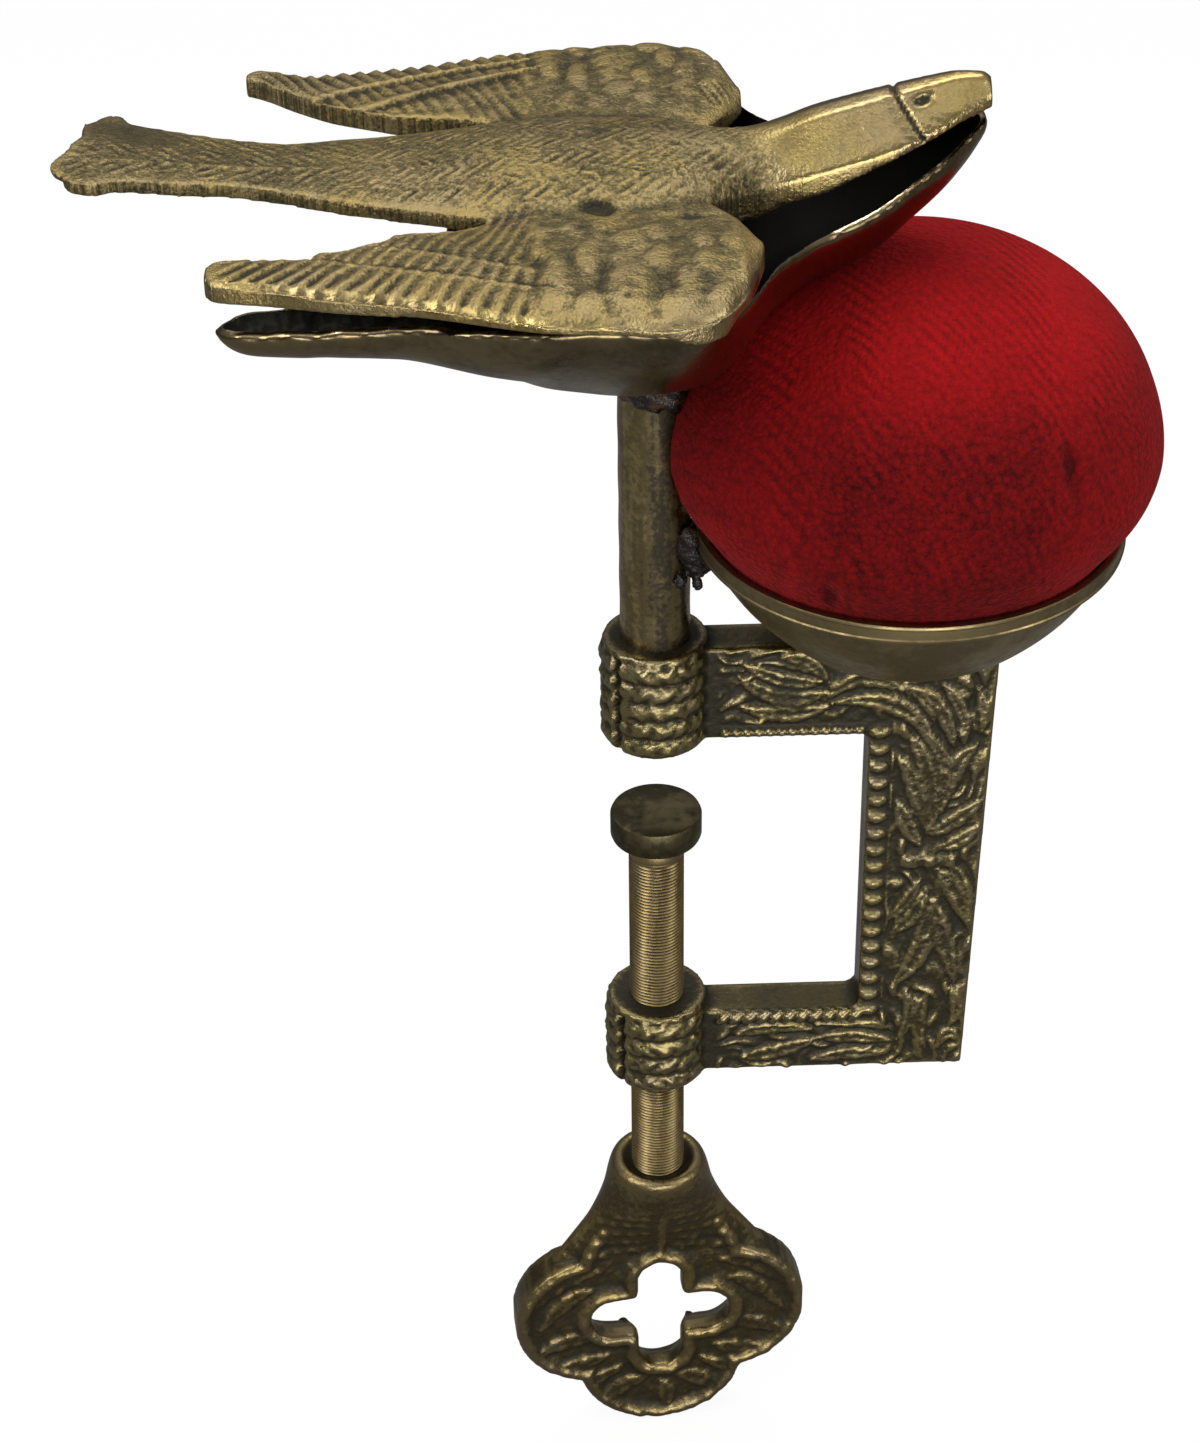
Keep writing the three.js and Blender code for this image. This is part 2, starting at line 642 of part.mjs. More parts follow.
function wing(side) {
  const quills = Array.from({ length: primaries }, (_, k) =>
    quillShares.map(([place, rise]) => [((k + place) / primaries) * quillEndShare, rise])).flat();
  const coverts = Array.from({ length: covertRows }, (_, k) =>
    covertPlaces.map(([place, rise]) =>
      [quillEndShare + ((k + place) / covertRows) * (0.93 - quillEndShare), k % 2 ? -rise : rise])).flat();
  const shoulder = steps(0.93, 1, 5).map((s) => [s, 0]);
  const top = [...quills, ...coverts, ...shoulder].map(([place, rise]) => {
    const leaning = smooth(0.02, 0.15, place) * (1 - smooth(quillEndShare, 0.8, place));
    const rows = rowShares.map((v) => {
      const s = place + (leaning * featherLean * (1 - v)) / wingLength;
      const outer = halfSpan * wingOuterAt(s);
      const inner = halfSpan * wingInnerAt(s);
      const camber = wingCamber * 4 * v * (1 - v) * smooth(0, 0.5, s);
      const front = smooth(0.86, 1, v);
      const rim = wingBevel * (front + smooth(0.93, 1, s) * (1 - front));
      const z = wingTop + camber - rim + reliefAt(s, v, rise);
      const spread = side > 0 ? farTipSpread * (1 - smooth(0, 0.16, s)) : 0;
      const short = side > 0 ? farTipShort * (1 - smooth(0, 0.3, s)) : 0;
      return [-wingTipReach + wingLength * s + short, side * (inner + (outer - inner) * v + spread), z];
    });
    return side > 0 ? rows : rows.reverse();
  });
  return solid(slab(top, wingUnder));
}

function birdCasting() {
  const lugTop = (s, y) => backAt(s, y / (bodyHalfWidth * bodyWidthAt(s))) - castingWall / 2;
  const shareOf = (x) => (x + tailReach) / birdLength;
  const lugs = [1, -1].map((side) => {
    const y0 = side > 0 ? castLugInset : -castLugInset - lugThickness;
    return block(
      -hingeReach - lugWidth / 2, -hingeReach + lugWidth / 2, y0, y0 + lugThickness,
      hingeZ - lugWidth / 2, lugTop(shareOf(-hingeReach - lugWidth / 2), castLugInset + lugThickness),
    );
  });
  const springX = -hingeReach - springBehindHinge;
  const ceiling = springCeiling();
  const crown = backAt(shareOf(springX), 0) - castingWall / 2;
  const spigot = rodSolid(spigotRadius, ceiling - spigotHeight, crown, 12, springX);
  const seat = rodSolid(springDiameter / 2 + gap, ceiling, crown, 16, springX);
  const bore = crossBar(
    hingePinDiameter / 2 + gap, -castLugInset - lugThickness - overrun, castLugInset + lugThickness + overrun,
    -hingeReach, hingeZ, 14,
  );
  return joined([bodyCasting(), wing(1), wing(-1), ...lugs, spigot, seat]).subtract(bore);
}

// Level of the flat that the top of the spring bears on, just under the hollow back
function springCeiling() {
  const s = (-hingeReach - springBehindHinge + tailReach) / birdLength;
  return backAt(s, 0) - castingWall - 1.5 * gap;
}

// Hinge pin and spring

function hingePin() {
  const reach = castLugInset + 2 * lugThickness + lugGap + pinOverhang;
  return crossBar(hingePinDiameter / 2, -reach, reach, -hingeReach, hingeZ, 14);
}

class Coil extends THREE.Curve {
  constructor(radius, low, high, turns) {
    super();
    Object.assign(this, { radius, low, high, turns });
  }
  getPoint(t, target = new THREE.Vector3()) {
    const angle = 2 * Math.PI * this.turns * t;
    return target.set(
      this.radius * Math.cos(angle), this.radius * Math.sin(angle), this.low + (this.high - this.low) * t,
    );
  }
}

function beakSpring() {
  const radius = (springDiameter - springWire) / 2;
  const low = springFloor() + gap + springWire / 2;
  const high = springCeiling() - gap - springWire / 2;
  const path = new Coil(radius, low, high, springTurns);
  const section = new THREE.Shape();
  for (let i = 0; i < 5; i++) {
    const angle = (2 * Math.PI * i) / 5;
    section[i ? "lineTo" : "moveTo"]((springWire / 2) * Math.cos(angle), (springWire / 2) * Math.sin(angle));
  }
  console.log("beak_spring least gap to itself", (high - low) / springTurns - springWire);
  const sweep = { extrudePath: path, steps: springTurns * springSteps, bevelEnabled: false };
  return new THREE.ExtrudeGeometry(section, sweep)
    .translate(-hingeReach - springBehindHinge, 0, 0);
}

// Post, and the brazing that holds the bird and the cup to it

function post() {
  const top = bellyBottom - gap;
  return rodSolid(postDiameter / 2, bossTop - postSocketDepth + gap, top, 32);
}

function brazeBody(grow) {
  const radius = postDiameter / 2 + gap;
  const top = bellyBottom + overrun + grow;
  const rings = 4;
  const columns = 20;
  const faces = [];
  const at = (i, j, inside) => {
    const angle = (2 * Math.PI * j) / columns;
    const front = (1 + Math.cos(angle + brazeFront)) / 2;
    const drop = brazeHeight * (brazeThinShare + (1 - brazeThinShare) * front);
    const up = i / rings;
    const lump = brazeLump * Math.sin(brazeLumps * angle) * Math.sin(Math.PI * up);
    const r = inside ? radius : radius + brazeLump + brazeSpread * up * up + lump + grow;
    const z = top - (drop + overrun + 2 * grow) * (1 - up);
    return [r * Math.cos(angle), r * Math.sin(angle), z];
  };
  const quad = (a, b, c, d) => faces.push(...a, ...b, ...c, ...a, ...c, ...d);
  for (let j = 0; j < columns; j++) {
    const k = (j + 1) % columns;
    for (let i = 0; i < rings; i++) {
      quad(at(i, j), at(i, k), at(i + 1, k), at(i + 1, j));
      quad(at(i, k, true), at(i, j, true), at(i + 1, j, true), at(i + 1, k, true));
    }
    quad(at(0, k), at(0, j), at(0, j, true), at(0, k, true));
    quad(at(rings, j), at(rings, k), at(rings, k, true), at(rings, j, true));
  }
  const geometry = new THREE.BufferGeometry();
  geometry.setAttribute("position", new THREE.Float32BufferAttribute(faces, 3));
  return solid(geometry);
}

const postBraze = () => brazeBody(0).subtract(bowl(0, 0, gap));

function ellipsoid(x, y, z, rx, ry, rz) {
  return solid(new THREE.SphereGeometry(1, 12, 8).rotateX(Math.PI / 2).scale(rx, ry, rz).translate(x, y, z));
}

function cupStay() {
  const x = postDiameter / 2;
  const z = cupRim - cupBandHeight;
  const blobs = [
    ellipsoid(x, -stayReach / 3, z - stayReach / 2, stayReach, stayReach, stayHeight / 2),
    ellipsoid(x + stayReach / 2, 0, z - stayReach, stayReach, stayReach / 1.3, stayReach / 1.1),
    ellipsoid(x - stayReach / 4, -stayReach, z, stayReach / 1.5, stayReach / 2, stayReach),
  ];
  const aroundPost = rodSolid(postDiameter / 2 + gap, cupFloor, cupRim + cupDepth, 32);
  const apart = [aroundPost, cupBody(gap), cupRoom(), cushionRoom()];
  return apart.reduce((shape, cutter) => shape.subtract(cutter), joined(blobs));
}

// Cup: a spun bowl with a banded rim; grown by a clearance to cut what touches it

const cupBowlShares = [
  [0, 1], [0.165, 0.965], [0.43, 0.866], [0.705, 0.707], [0.85, 0.59], [0.95, 0.47], [1, 0.34],
];
const bowlRadiusAt = through(cupBowlShares);
const cupRings = [1, 0.97, 0.91, 0.8, 0.62, 0.4];

function cupProfile(grow) {
  const wide = cupRimRadius - cupBandStep;
  const bowl = cupRings.map((share) => [wide * bowlRadiusAt(share) + grow, cupRim - cupDepth * share - grow]);
  const band = cupRim - cupBandHeight - grow;
  return [
    [0, cupFloor - grow], ...bowl, [wide * bowlRadiusAt(cupBandHeight / cupDepth) + grow, band - cupBandStep],
    [cupRimRadius + grow, band], [cupRimRadius + grow, cupRim + grow],
  ];
}

// Radius of the room inside the cup at a level
function roomRadiusAt(z) {
  return (cupRimRadius - cupWall) * bowlRadiusAt((cupRim - z) / (cupDepth - cupWall));
}

function cupRoomProfile() {
  const levels = [...cupRings, 0].map((share) => cupRim - (cupDepth - cupWall) * share);
  return [[0, levels[0]], ...levels.map((z) => [roomRadiusAt(z), z])];
}

const turnedCup = (profile) => solid(spindle(profile, 36).translate(cupX, 0, 0));

const cupBody = (grow) => turnedCup([...cupProfile(grow), [0, cupRim + grow]]);

function cupRoom() {
  const over = cupRim + cushionAboveRim;
  return turnedCup([...cupRoomProfile(), [cupRimRadius - cupWall, over], [0, over]]);
}

const cup = () => turnedCup([...cupProfile(0), ...cupRoomProfile().reverse()]);

// Pincushion: velvet ball drawn in at the rim of the cup, its filling and the card under it

function cushionRadiusAt(z) {
  const waist = cupRim + cushionWaistAboveRim;
  const crown = cushionAboveRim - cushionWaistAboveRim;
  if (z >= waist) return cushionRadius * Math.sqrt(Math.max(0, 1 - ((z - waist) / crown) ** 2));
  if (z < cupRim) return roomRadiusAt(z) - cushionEase;
  const mouth = cupRimRadius - cupWall - cushionEase;
  return cushionRadius - (cushionRadius - mouth) * ((waist - z) / (waist - cupRim)) ** 1.8;
}

const cardLow = cupFloor + cupWall + gap;
const cushionFoot = cardLow + cardThickness + gap;

function ball(inset, columns, rows) {
  const crown = cupRim + cushionAboveRim - inset;
  const foot = cushionFoot + inset;
  const levels = steps(0, Math.PI, rows).map((turn) => foot + ((crown - foot) * (1 - Math.cos(turn))) / 2);
  const fold = (angle, z) => {
    if (inset || z < cupRim) return 0;
    const fading = Math.exp(-(((z - cupRim) / cushionWaistAboveRim) ** 2));
    return cushionFold * fading * Math.sin(cushionFolds * angle);
  };
  const at = (i, j) => {
    const angle = (2 * Math.PI * j) / columns;
    const r = cushionRadiusAt(levels[i]) - inset + fold(angle, levels[i]);
    return [cupX + r * Math.cos(angle), r * Math.sin(angle), levels[i]];
  };
  const faces = [];
  const last = rows - 1;
  for (let j = 0; j < columns; j++) {
    const k = (j + 1) % columns;
    for (let i = 0; i < last; i++) {
      faces.push(...at(i, j), ...at(i, k), ...at(i + 1, k));
      faces.push(...at(i, j), ...at(i + 1, k), ...at(i + 1, j));
    }
    faces.push(...at(last, j), ...at(last, k), cupX, 0, crown);
    faces.push(...at(0, k), ...at(0, j), cupX, 0, foot);
  }
  const geometry = new THREE.BufferGeometry();
  geometry.setAttribute("position", new THREE.Float32BufferAttribute(faces, 3));
  return solid(geometry);
}

// The room the cushion takes, folds included, for cutting what stands against it
const cushionRoom = () => ball(-gap - cushionFold, cushionColumns, cushionRows);

// The post presses a groove into the cushion, and the belly and the brazing dent it
function dented(shape, clear) {
  const groove = rodSolid(postDiameter / 2 + clear, cupFloor, cupRim + 2 * cushionAboveRim, 32);
  const dents = [groove, bowl(-gap - clear, 0), brazeBody(clear)];
  return dents.reduce((rest, dent) => rest.subtract(dent), shape);
}

function cushionCover() {
  const room = dented(ball(cushionCloth, 22, 8), cushionCloth + gap);
  const mouth = rodSolid(cushionOpening, cupFloor, cupRim, 24, cupX);
  return dented(ball(0, cushionColumns, cushionRows), gap).subtract(room).subtract(mouth);
}

function cushionStuffing() {
  return dented(ball(cushionCloth + gap, 22, 8), cushionCloth + 2 * gap);
}

function cushionCard() {
  return rodSolid(roomRadiusAt(cardLow) - gap, cardLow, cardLow + cardThickness, 24, cupX);
}

// Screw: swivel end in the pad, plain where the thread runs, foot pinned in the handle

function threadedRod() {
  const r = screwDiameter / 2;
  const neck = swivelDiameter / 2;
  const head = swivelHeadDiameter / 2;
  const top = screwTop - gap;
  const low = socketTop - socketDepth + gap;
  const swivelTop = top + swivelLength;
  const headLow = swivelTop - swivelHeadHeight;
  const rod = solid(spindle([
    [0, low], [r, low], [r, top - screwChamfer], [r - screwChamfer, top], [neck, top],
    [neck, headLow], [head, headLow], [head, swivelTop], [0, swivelTop],
  ], 24));
  const hole = crossBar(
    handlePinDiameter / 2 + gap, -screwDiameter, screwDiameter, 0, socketTop - handlePinDrop, 12,
  );
  return rod.subtract(hole);
}

function screwPad() {
  const r = padDiameter / 2;
  const bore = swivelDiameter / 2 + gap;
  const room = swivelHeadDiameter / 2 + gap;
  const roomTop = screwTop - gap + swivelLength + gap;
  const roomLow = roomTop - swivelHeadHeight - 2 * gap;
  return solid(spindle([
    [0, roomTop], [room, roomTop], [room, roomLow], [bore, roomLow], [bore, screwTop],
    [r - padBevel, screwTop], [r, screwTop + padBevel], [r, padTop - padBevel], [r - padBevel, padTop],
    [0, padTop],
  ], 32));
}

// Handle: a pierced four-lobed plate under a conical neck

const handleCentre = socketTop - handleBelowSocket;

const discAcross = (radius, x, z, reach, segments) => crossBar(radius, -reach, reach, x, z, segments);
const crossPlaces = [[1, 0], [-1, 0], [0, 1], [0, -1]];

function handlePlate(grow, reach) {
  const lobes = crossPlaces.map(([a, b]) => discAcross(
    handleLobeRadius + grow, a * handleLobeOffset, handleCentre + b * handleLobeOffset, reach, 24,
  ));
  return joined(lobes);
}

// A cross of two arms with round ends
function handleHole(grow) {
  const reach = handleThickness + overrun;
  const side = handleSideHole + grow;
  const end = handleEndHole + grow;
  const lobes = crossPlaces.map(([a, b]) => discAcross(
    a ? side : end, a * handleSideHoleOffset, handleCentre + b * handleEndHoleOffset, reach, 16,
  ));
  const up = side - handleArmEase;
  const across = end - handleArmEase;
  const arms = [
    [handleSideHoleOffset, up],
    [across, handleEndHoleOffset],
  ].map(([x, z]) => block(-x, x, -reach, reach, handleCentre - z, handleCentre + z));
  const heart = discAcross(handleHeartHole + grow, 0, handleCentre, reach, 24);
  return joined([...lobes, ...arms, heart]);
}

// Half widths across and through the neck, as shares of its spread and radius, from the socket down
const neckShares = [
  [0, 0.37, 0.88], [0.04, 0.42, 1], [0.3, 0.5, 0.86], [0.55, 0.63, 0.62], [0.75, 0.79, 0.46], [1, 1, 0.34],
];

function neck() {
  const columns = 24;
  const ring = ([share, wide, thick]) => steps(0, 1, columns).slice(1).map((turn) => {
    const angle = 2 * Math.PI * turn;
    return [
      neckSpread * wide * Math.cos(angle), neckRadius * thick * Math.sin(angle),
      socketTop - neckLength * share,
    ];
  });
  const rings = neckShares.map(ring);
  const faces = [];
  for (let j = 0; j < columns; j++) {
    const k = (j + 1) % columns;
    for (let i = 0; i + 1 < rings.length; i++) {
      faces.push(...rings[i][j], ...rings[i + 1][k], ...rings[i][k]);
      faces.push(...rings[i][j], ...rings[i + 1][j], ...rings[i + 1][k]);
    }
    faces.push(...rings[0][j], ...rings[0][k], 0, 0, socketTop);
    faces.push(...rings[rings.length - 1][k], ...rings[rings.length - 1][j], 0, 0, socketTop - neckLength);
  }
  const geometry = new THREE.BufferGeometry();
  geometry.setAttribute("position", new THREE.Float32BufferAttribute(faces, 3));
  return solid(geometry);
}

function thumbHandle() {
  const half = handleThickness / 2;
  const web = half - handleRimRise;
  const plate = handlePlate(-handleRimWidth, web);
  const rim = handlePlate(0, half).subtract(handlePlate(-handleRimWidth, half + overrun));
  const inner = handleHole(handleRimWidth).intersect(handlePlate(-handleRimWidth, half));
  const lip = solid(spindle([
    [0, socketTop - neckLip], [neckRadius - neckLip, socketTop - neckLip], [neckRadius - neckLip, socketTop],
    [0, socketTop],
  ], 28));
  const socket = rodSolid(screwDiameter / 2 + gap, socketTop - socketDepth, socketTop + overrun, 24);
  const pinHole = crossBar(
    handlePinDiameter / 2 + gap, -neckRadius - overrun, neckRadius + overrun,
    0, socketTop - handlePinDrop, 12,
  );
  return joined([plate, rim, inner, lip, neck()]).subtract(handleHole(0)).subtract(socket).subtract(pinHole);
}

function handlePin() {
  const reach = neckRadius * 0.8;
  return crossBar(handlePinDiameter / 2, -reach, reach, 0, socketTop - handlePinDrop, 12);
}

piece("c_frame", cFrame(), brass);
piece("post", post(), brass);
piece("post_braze", postBraze(), dark);
piece("cup_stay", cupStay(), dark);
piece("pincushion_cup", cup(), polished);
piece("cushion_cover", cushionCover(), velvet);
piece("cushion_stuffing", cushionStuffing(), filling);
piece("cushion_card", cushionCard(), board);
piece("belly_shell", bellyShell(), polished);
piece("bird_casting", birdCasting(), brass);
piece("hinge_pin", hingePin(), steel);
piece("beak_spring", beakSpring(), steel);
piece("screw_pad", screwPad(), brass);

const turning = new THREE.Group();
turning.rotation.z = handleTurn;
part.add(turning);
piece("threaded_rod", threadedRod(), polished, turning);
piece("thumb_handle", thumbHandle(), brass, turning);
piece("handle_pin", handlePin(), steel, turning);

export default part;
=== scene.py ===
import math

import bpy
import numpy as np
from mathutils import Matrix, Vector
from mathutils.bvhtree import BVHTree


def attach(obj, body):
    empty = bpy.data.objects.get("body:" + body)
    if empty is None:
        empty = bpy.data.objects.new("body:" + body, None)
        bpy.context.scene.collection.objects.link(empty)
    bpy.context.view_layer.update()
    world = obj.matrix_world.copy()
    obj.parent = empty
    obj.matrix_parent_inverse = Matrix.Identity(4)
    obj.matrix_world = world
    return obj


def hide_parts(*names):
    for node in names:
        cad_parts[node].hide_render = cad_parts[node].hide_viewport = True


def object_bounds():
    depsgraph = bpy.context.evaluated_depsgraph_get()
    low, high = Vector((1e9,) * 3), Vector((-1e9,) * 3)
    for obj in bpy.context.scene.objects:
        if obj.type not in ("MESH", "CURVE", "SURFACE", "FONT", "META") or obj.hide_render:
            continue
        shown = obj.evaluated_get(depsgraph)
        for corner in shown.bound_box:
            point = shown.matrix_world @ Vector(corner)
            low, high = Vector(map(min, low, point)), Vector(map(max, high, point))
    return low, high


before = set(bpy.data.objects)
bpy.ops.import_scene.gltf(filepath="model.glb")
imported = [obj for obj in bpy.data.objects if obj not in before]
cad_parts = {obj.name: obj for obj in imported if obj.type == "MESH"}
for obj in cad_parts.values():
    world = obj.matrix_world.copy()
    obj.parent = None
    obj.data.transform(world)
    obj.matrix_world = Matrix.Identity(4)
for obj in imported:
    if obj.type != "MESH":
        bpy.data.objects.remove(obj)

cad_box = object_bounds()
METRE = 0.001  # a millimetre in metres: forms are worked out in millimetres
QUARTER_TURN = math.pi / 2
FULL_TURN = 2 * math.pi


# Sizes of the part that the fine forms follow, in millimetres

BOSS_TOP = 14.3
LOWER_BOSS_TOP = -40.9
UPPER_BOSS_HEIGHT = 14.3
LOWER_BOSS_HEIGHT = 12.3
BOSS_RADIUS = 6.2
THROAT_DEPTH = 25.8
SPINE_TOP_WIDTH = 15.4
SPINE_FOOT_WIDTH = 13.8
FRAME_THICKNESS = 6.0
UPPER_ARM_HEIGHT = 12.9
LOWER_ARM_HEIGHT = 9.8
ARM_DROP = 0.7
ARM_LIFT = 0.5
POST_RADIUS = 4.2
POST_FOOT = 5.6
CUP_RIM_RADIUS = 25.2
CUP_X = 29.7
CUP_RIM = 30.6
CUP_FLOOR = 13.7
CUP_WALL = 0.9
CUSHION_RADIUS = 28.2
CUSHION_HEIGHT = 33.9  # above the rim of the cup
CUSHION_WAIST = 10.1  # height of its widest place above the rim
CUSHION_EASE = 0.35  # between the velvet and the cup
CUSHION_LIFT = 2.4  # of its foot above the floor of the cup
BELLY_BOTTOM = 52.0
WING_UNDER = 72.7
WING_TOP = 74.9
HINGE_X = -8.0
HINGE_Z = 68.9
BEAK_REACH = 36.3
TAIL_REACH = 64.3
WING_TIP = 47.0
SHOULDER = 10.8
HALF_SPAN = 35.3
BODY_HALF_WIDTH = 13.0
HEAD_RISE = 10.2
CHEEK_DROP = 3.4
WALL = 1.9
LUG_INSET = 3.5
LUG = 2.4
LUG_GAP = 0.4
LUG_HALF = 3.2
EYE = 1.5
SPRING_X = -15.4
SPRING_RADIUS = 3.4
SPIGOT = 1.5
SCREW_RADIUS = 3.5
SCREW_TOP = -15.7
THREAD_PITCH = 0.5
THREAD_DEPTH = 0.3
PAD_TOP = -11.9
PAD_RADIUS = 5.7
SOCKET_TOP = -69.5
SOCKET_DEPTH = 8.0
NECK_LENGTH = 17.5
NECK_HALF_WIDTH = 15.0
NECK_HALF_DEPTH = 6.3
HANDLE_CENTRE = -97.6
HANDLE_HALF = 2.4
HANDLE_TURN = math.radians(6)
LOBE_RADIUS = 11.6
LOBE_OFFSET = 8.6
HOLE_ARM, HOLE_ARM_RADIUS = 6.2, 3.5  # to either side
HOLE_LEG, HOLE_LEG_RADIUS = 6.9, 3.0  # up and down
HOLE_HEART = 5.1


# Grain at which each skin is melted, in millimetres

BIRD_GRAIN = 0.321
SHELL_GRAIN = 0.5
ROOM_GRAIN = 0.55
FRAME_GRAIN = 0.27
BRAZE_GRAIN = 0.3
STAY_GRAIN = 0.28
CUSHION_GRAIN = 1.7
HANDLE_GRAIN = 0.3


# Camera at the photograph's angle, floor, room and lamps

CAMERA_PLACE = (-12.315, -318.616, 224.993)
SENSOR = 36
FOCAL_PIXELS, PHOTO_PIXELS = 3200, 1442
FLOOR_REACH = 1.6
FLOOR_DROP = 0.0002  # of the floor under the handle


def place_camera():
    azimuth, elevation, roll = math.radians(1.0), math.radians(35.0232), math.radians(-1.0)
    level = math.cos(elevation)
    forward = Vector((math.sin(azimuth) * level, math.cos(azimuth) * level, -math.sin(elevation)))
    right = Vector((math.cos(azimuth), -math.sin(azimuth), 0))
    up = right.cross(forward)
    across = math.cos(roll) * right + math.sin(roll) * up
    upward = -math.sin(roll) * right + math.cos(roll) * up
    turn = Matrix((across, upward, -forward)).transposed().to_4x4()
    lens = bpy.data.cameras.new("view")
    lens.sensor_width = SENSOR
    lens.lens = FOCAL_PIXELS / PHOTO_PIXELS * SENSOR
    lens.clip_start = 0.01
    camera = bpy.data.objects.new("view", lens)
    camera.matrix_world = Matrix.Translation(Vector(CAMERA_PLACE) * METRE) @ turn
    bpy.context.collection.objects.link(camera)
    bpy.context.scene.camera = camera


# Shader maths as expressions

class Socket:
    """An output of a node, with arithmetic that adds the nodes for it."""

    def __init__(self, maker, output):
        self.maker, self.output = maker, output

    def is_vector(self):
        return self.output.type in ("VECTOR", "RGBA")

    def sum_of(self, operation, *values):
        vector = any(isinstance(v, Socket) and v.is_vector() for v in values)
        kind = "ShaderNodeVectorMath" if vector else "ShaderNodeMath"
        filled = {
            i: (v, v, v) if vector and not isinstance(v, Socket) else v for i, v in enumerate(values)
        }
        return self.maker.add(kind, {"operation": operation}, filled)

    def __add__(self, other):
        return self.sum_of("ADD", self, other)

    def __radd__(self, other):
        return self.sum_of("ADD", other, self)

    def __sub__(self, other):
        return self.sum_of("SUBTRACT", self, other)

    def __rsub__(self, other):
        return self.sum_of("SUBTRACT", other, self)

    def __mul__(self, other):
        return self.sum_of("MULTIPLY", self, other)

    def __rmul__(self, other):
        return self.sum_of("MULTIPLY", other, self)

    def least(self, other):
        return self.sum_of("MINIMUM", self, other)

    def most(self, other):
        return self.sum_of("MAXIMUM", self, other)

    def size(self):
        return self.sum_of("ABSOLUTE", self)

    def held(self):
        return self.most(0).least(1)


class Finish:
    """Nodes of a material or of the world."""

    def __init__(self, owner):
        owner.use_nodes = True
        self.owner, self.tree = owner, owner.node_tree
        self.tree.nodes.clear()

    def add(self, kind, settings=None, inputs=None, output=0):
        node = self.tree.nodes.new(kind)
        for name, value in (settings or {}).items():
            if name == "stops":
                ramp = node.color_ramp
                while len(ramp.elements) < len(value):
                    ramp.elements.new(0.5)
                for element, (place, colour) in zip(ramp.elements, value):
                    element.position, element.color = place, (*colour, 1)
            else:
                setattr(node, name, value)
        for name, value in (inputs or {}).items():
            socket = node.inputs[name]
            if isinstance(value, Socket):
                self.tree.links.new(value.output, socket)
            else:
                socket.default_value = value
        return Socket(self, node.outputs[output])

    def stored(self, name):
        """A value that was stored at each point of the mesh."""
        return self.add("ShaderNodeAttribute", {"attribute_name": name}, output="Fac")

    def place(self, size, stretch=(1, 1, 1), seed=0.0):
        """Place on the piece, counted in lumps of a size in millimetres."""
        return self.add("ShaderNodeMapping", inputs={
            "Vector": self.add("ShaderNodeTexCoord", output="Object"),
            "Scale": tuple(1 / METRE / (size * s) for s in stretch),
            "Location": (seed, seed * 0.7, -seed),
        })

    def speckle(self, size, detail=3, stretch=(1, 1, 1), roughness=0.55, seed=0.0):
        return self.add("ShaderNodeTexNoise", inputs={
            "Vector": self.place(size, stretch, seed), "Scale": 1.0, "Detail": detail, "Roughness": roughness,
        })

    def cells(self, size):
        inputs = {"Vector": self.place(size), "Scale": 1.0}
        return self.add("ShaderNodeTexVoronoi", {"feature": "F1"}, inputs, "Distance")

    def between(self, value, low, high):
        """How far a value has come from low to high, eased at both ends."""
        return self.add("ShaderNodeMapRange", {"interpolation_type": "SMOOTHSTEP"}, {
            "Value": value, "From Min": low, "From Max": high, "To Min": 0.0, "To Max": 1.0,
        })

    def blend(self, share, first, second):
        node = self.tree.nodes.new("ShaderNodeMix")
        node.data_type = "RGBA"
        colours = [socket for socket in node.inputs if socket.type == "RGBA"]
        factor = next(socket for socket in node.inputs if socket.type == "VALUE")
        for socket, value in zip((factor, *colours), (share, first, second)):
            if isinstance(value, Socket):
                self.tree.links.new(value.output, socket)
            else:
                socket.default_value = (*value, 1) if isinstance(value, tuple) else value
        return Socket(self, next(socket for socket in node.outputs if socket.type == "RGBA"))

    def dents(self, height, depth, under=None):
        inputs = {"Height": height, "Distance": depth * METRE, "Strength": 1.0}
        if under:
            inputs["Normal"] = under
        return self.add("ShaderNodeBump", inputs=inputs, output="Normal")

    def surface(self, **inputs):
        names = {name.replace("_", " "): value for name, value in inputs.items()}
        shader = self.add("ShaderNodeBsdfPrincipled", inputs=names, output="BSDF")
        self.add_end(shader)

    def add_end(self, shader, kind="ShaderNodeOutputMaterial"):
        end = self.tree.nodes.new(kind)
        self.tree.links.new(shader.output, end.inputs["Surface"])


def material(name):
    return Finish(bpy.data.materials.new(name))


def light_room():
    """Grey studio light on the brass, with white behind the object."""
    world = bpy.data.worlds.new("room")
    bpy.context.scene.world = world
    finish = Finish(world)
    direction = finish.add("ShaderNodeTexCoord", output="Generated")
    height = finish.add("ShaderNodeSeparateXYZ", inputs={"Vector": direction}, output="Z")
    shade = finish.add("ShaderNodeValToRGB", {"stops": [
        (0.0, (0.05, 0.05, 0.05)), (0.47, (0.08, 0.08, 0.08)), (0.58, (0.12, 0.12, 0.125)),
        (0.74, (0.34, 0.34, 0.35)), (1.0, (0.62, 0.62, 0.62)),
    ]}, {"Fac": height * 0.5 + 0.5})
    lit = finish.add("ShaderNodeBackground", inputs={"Color": shade, "Strength": 1.0})
    white = finish.add("ShaderNodeBackground", inputs={"Color": (1, 1, 1, 1), "Strength": 1.0})
    seen = finish.add("ShaderNodeLightPath", output="Is Camera Ray")
    both = finish.add("ShaderNodeMixShader", inputs={0: seen, 1: lit, 2: white})
    finish.add_end(both, "ShaderNodeOutputWorld")


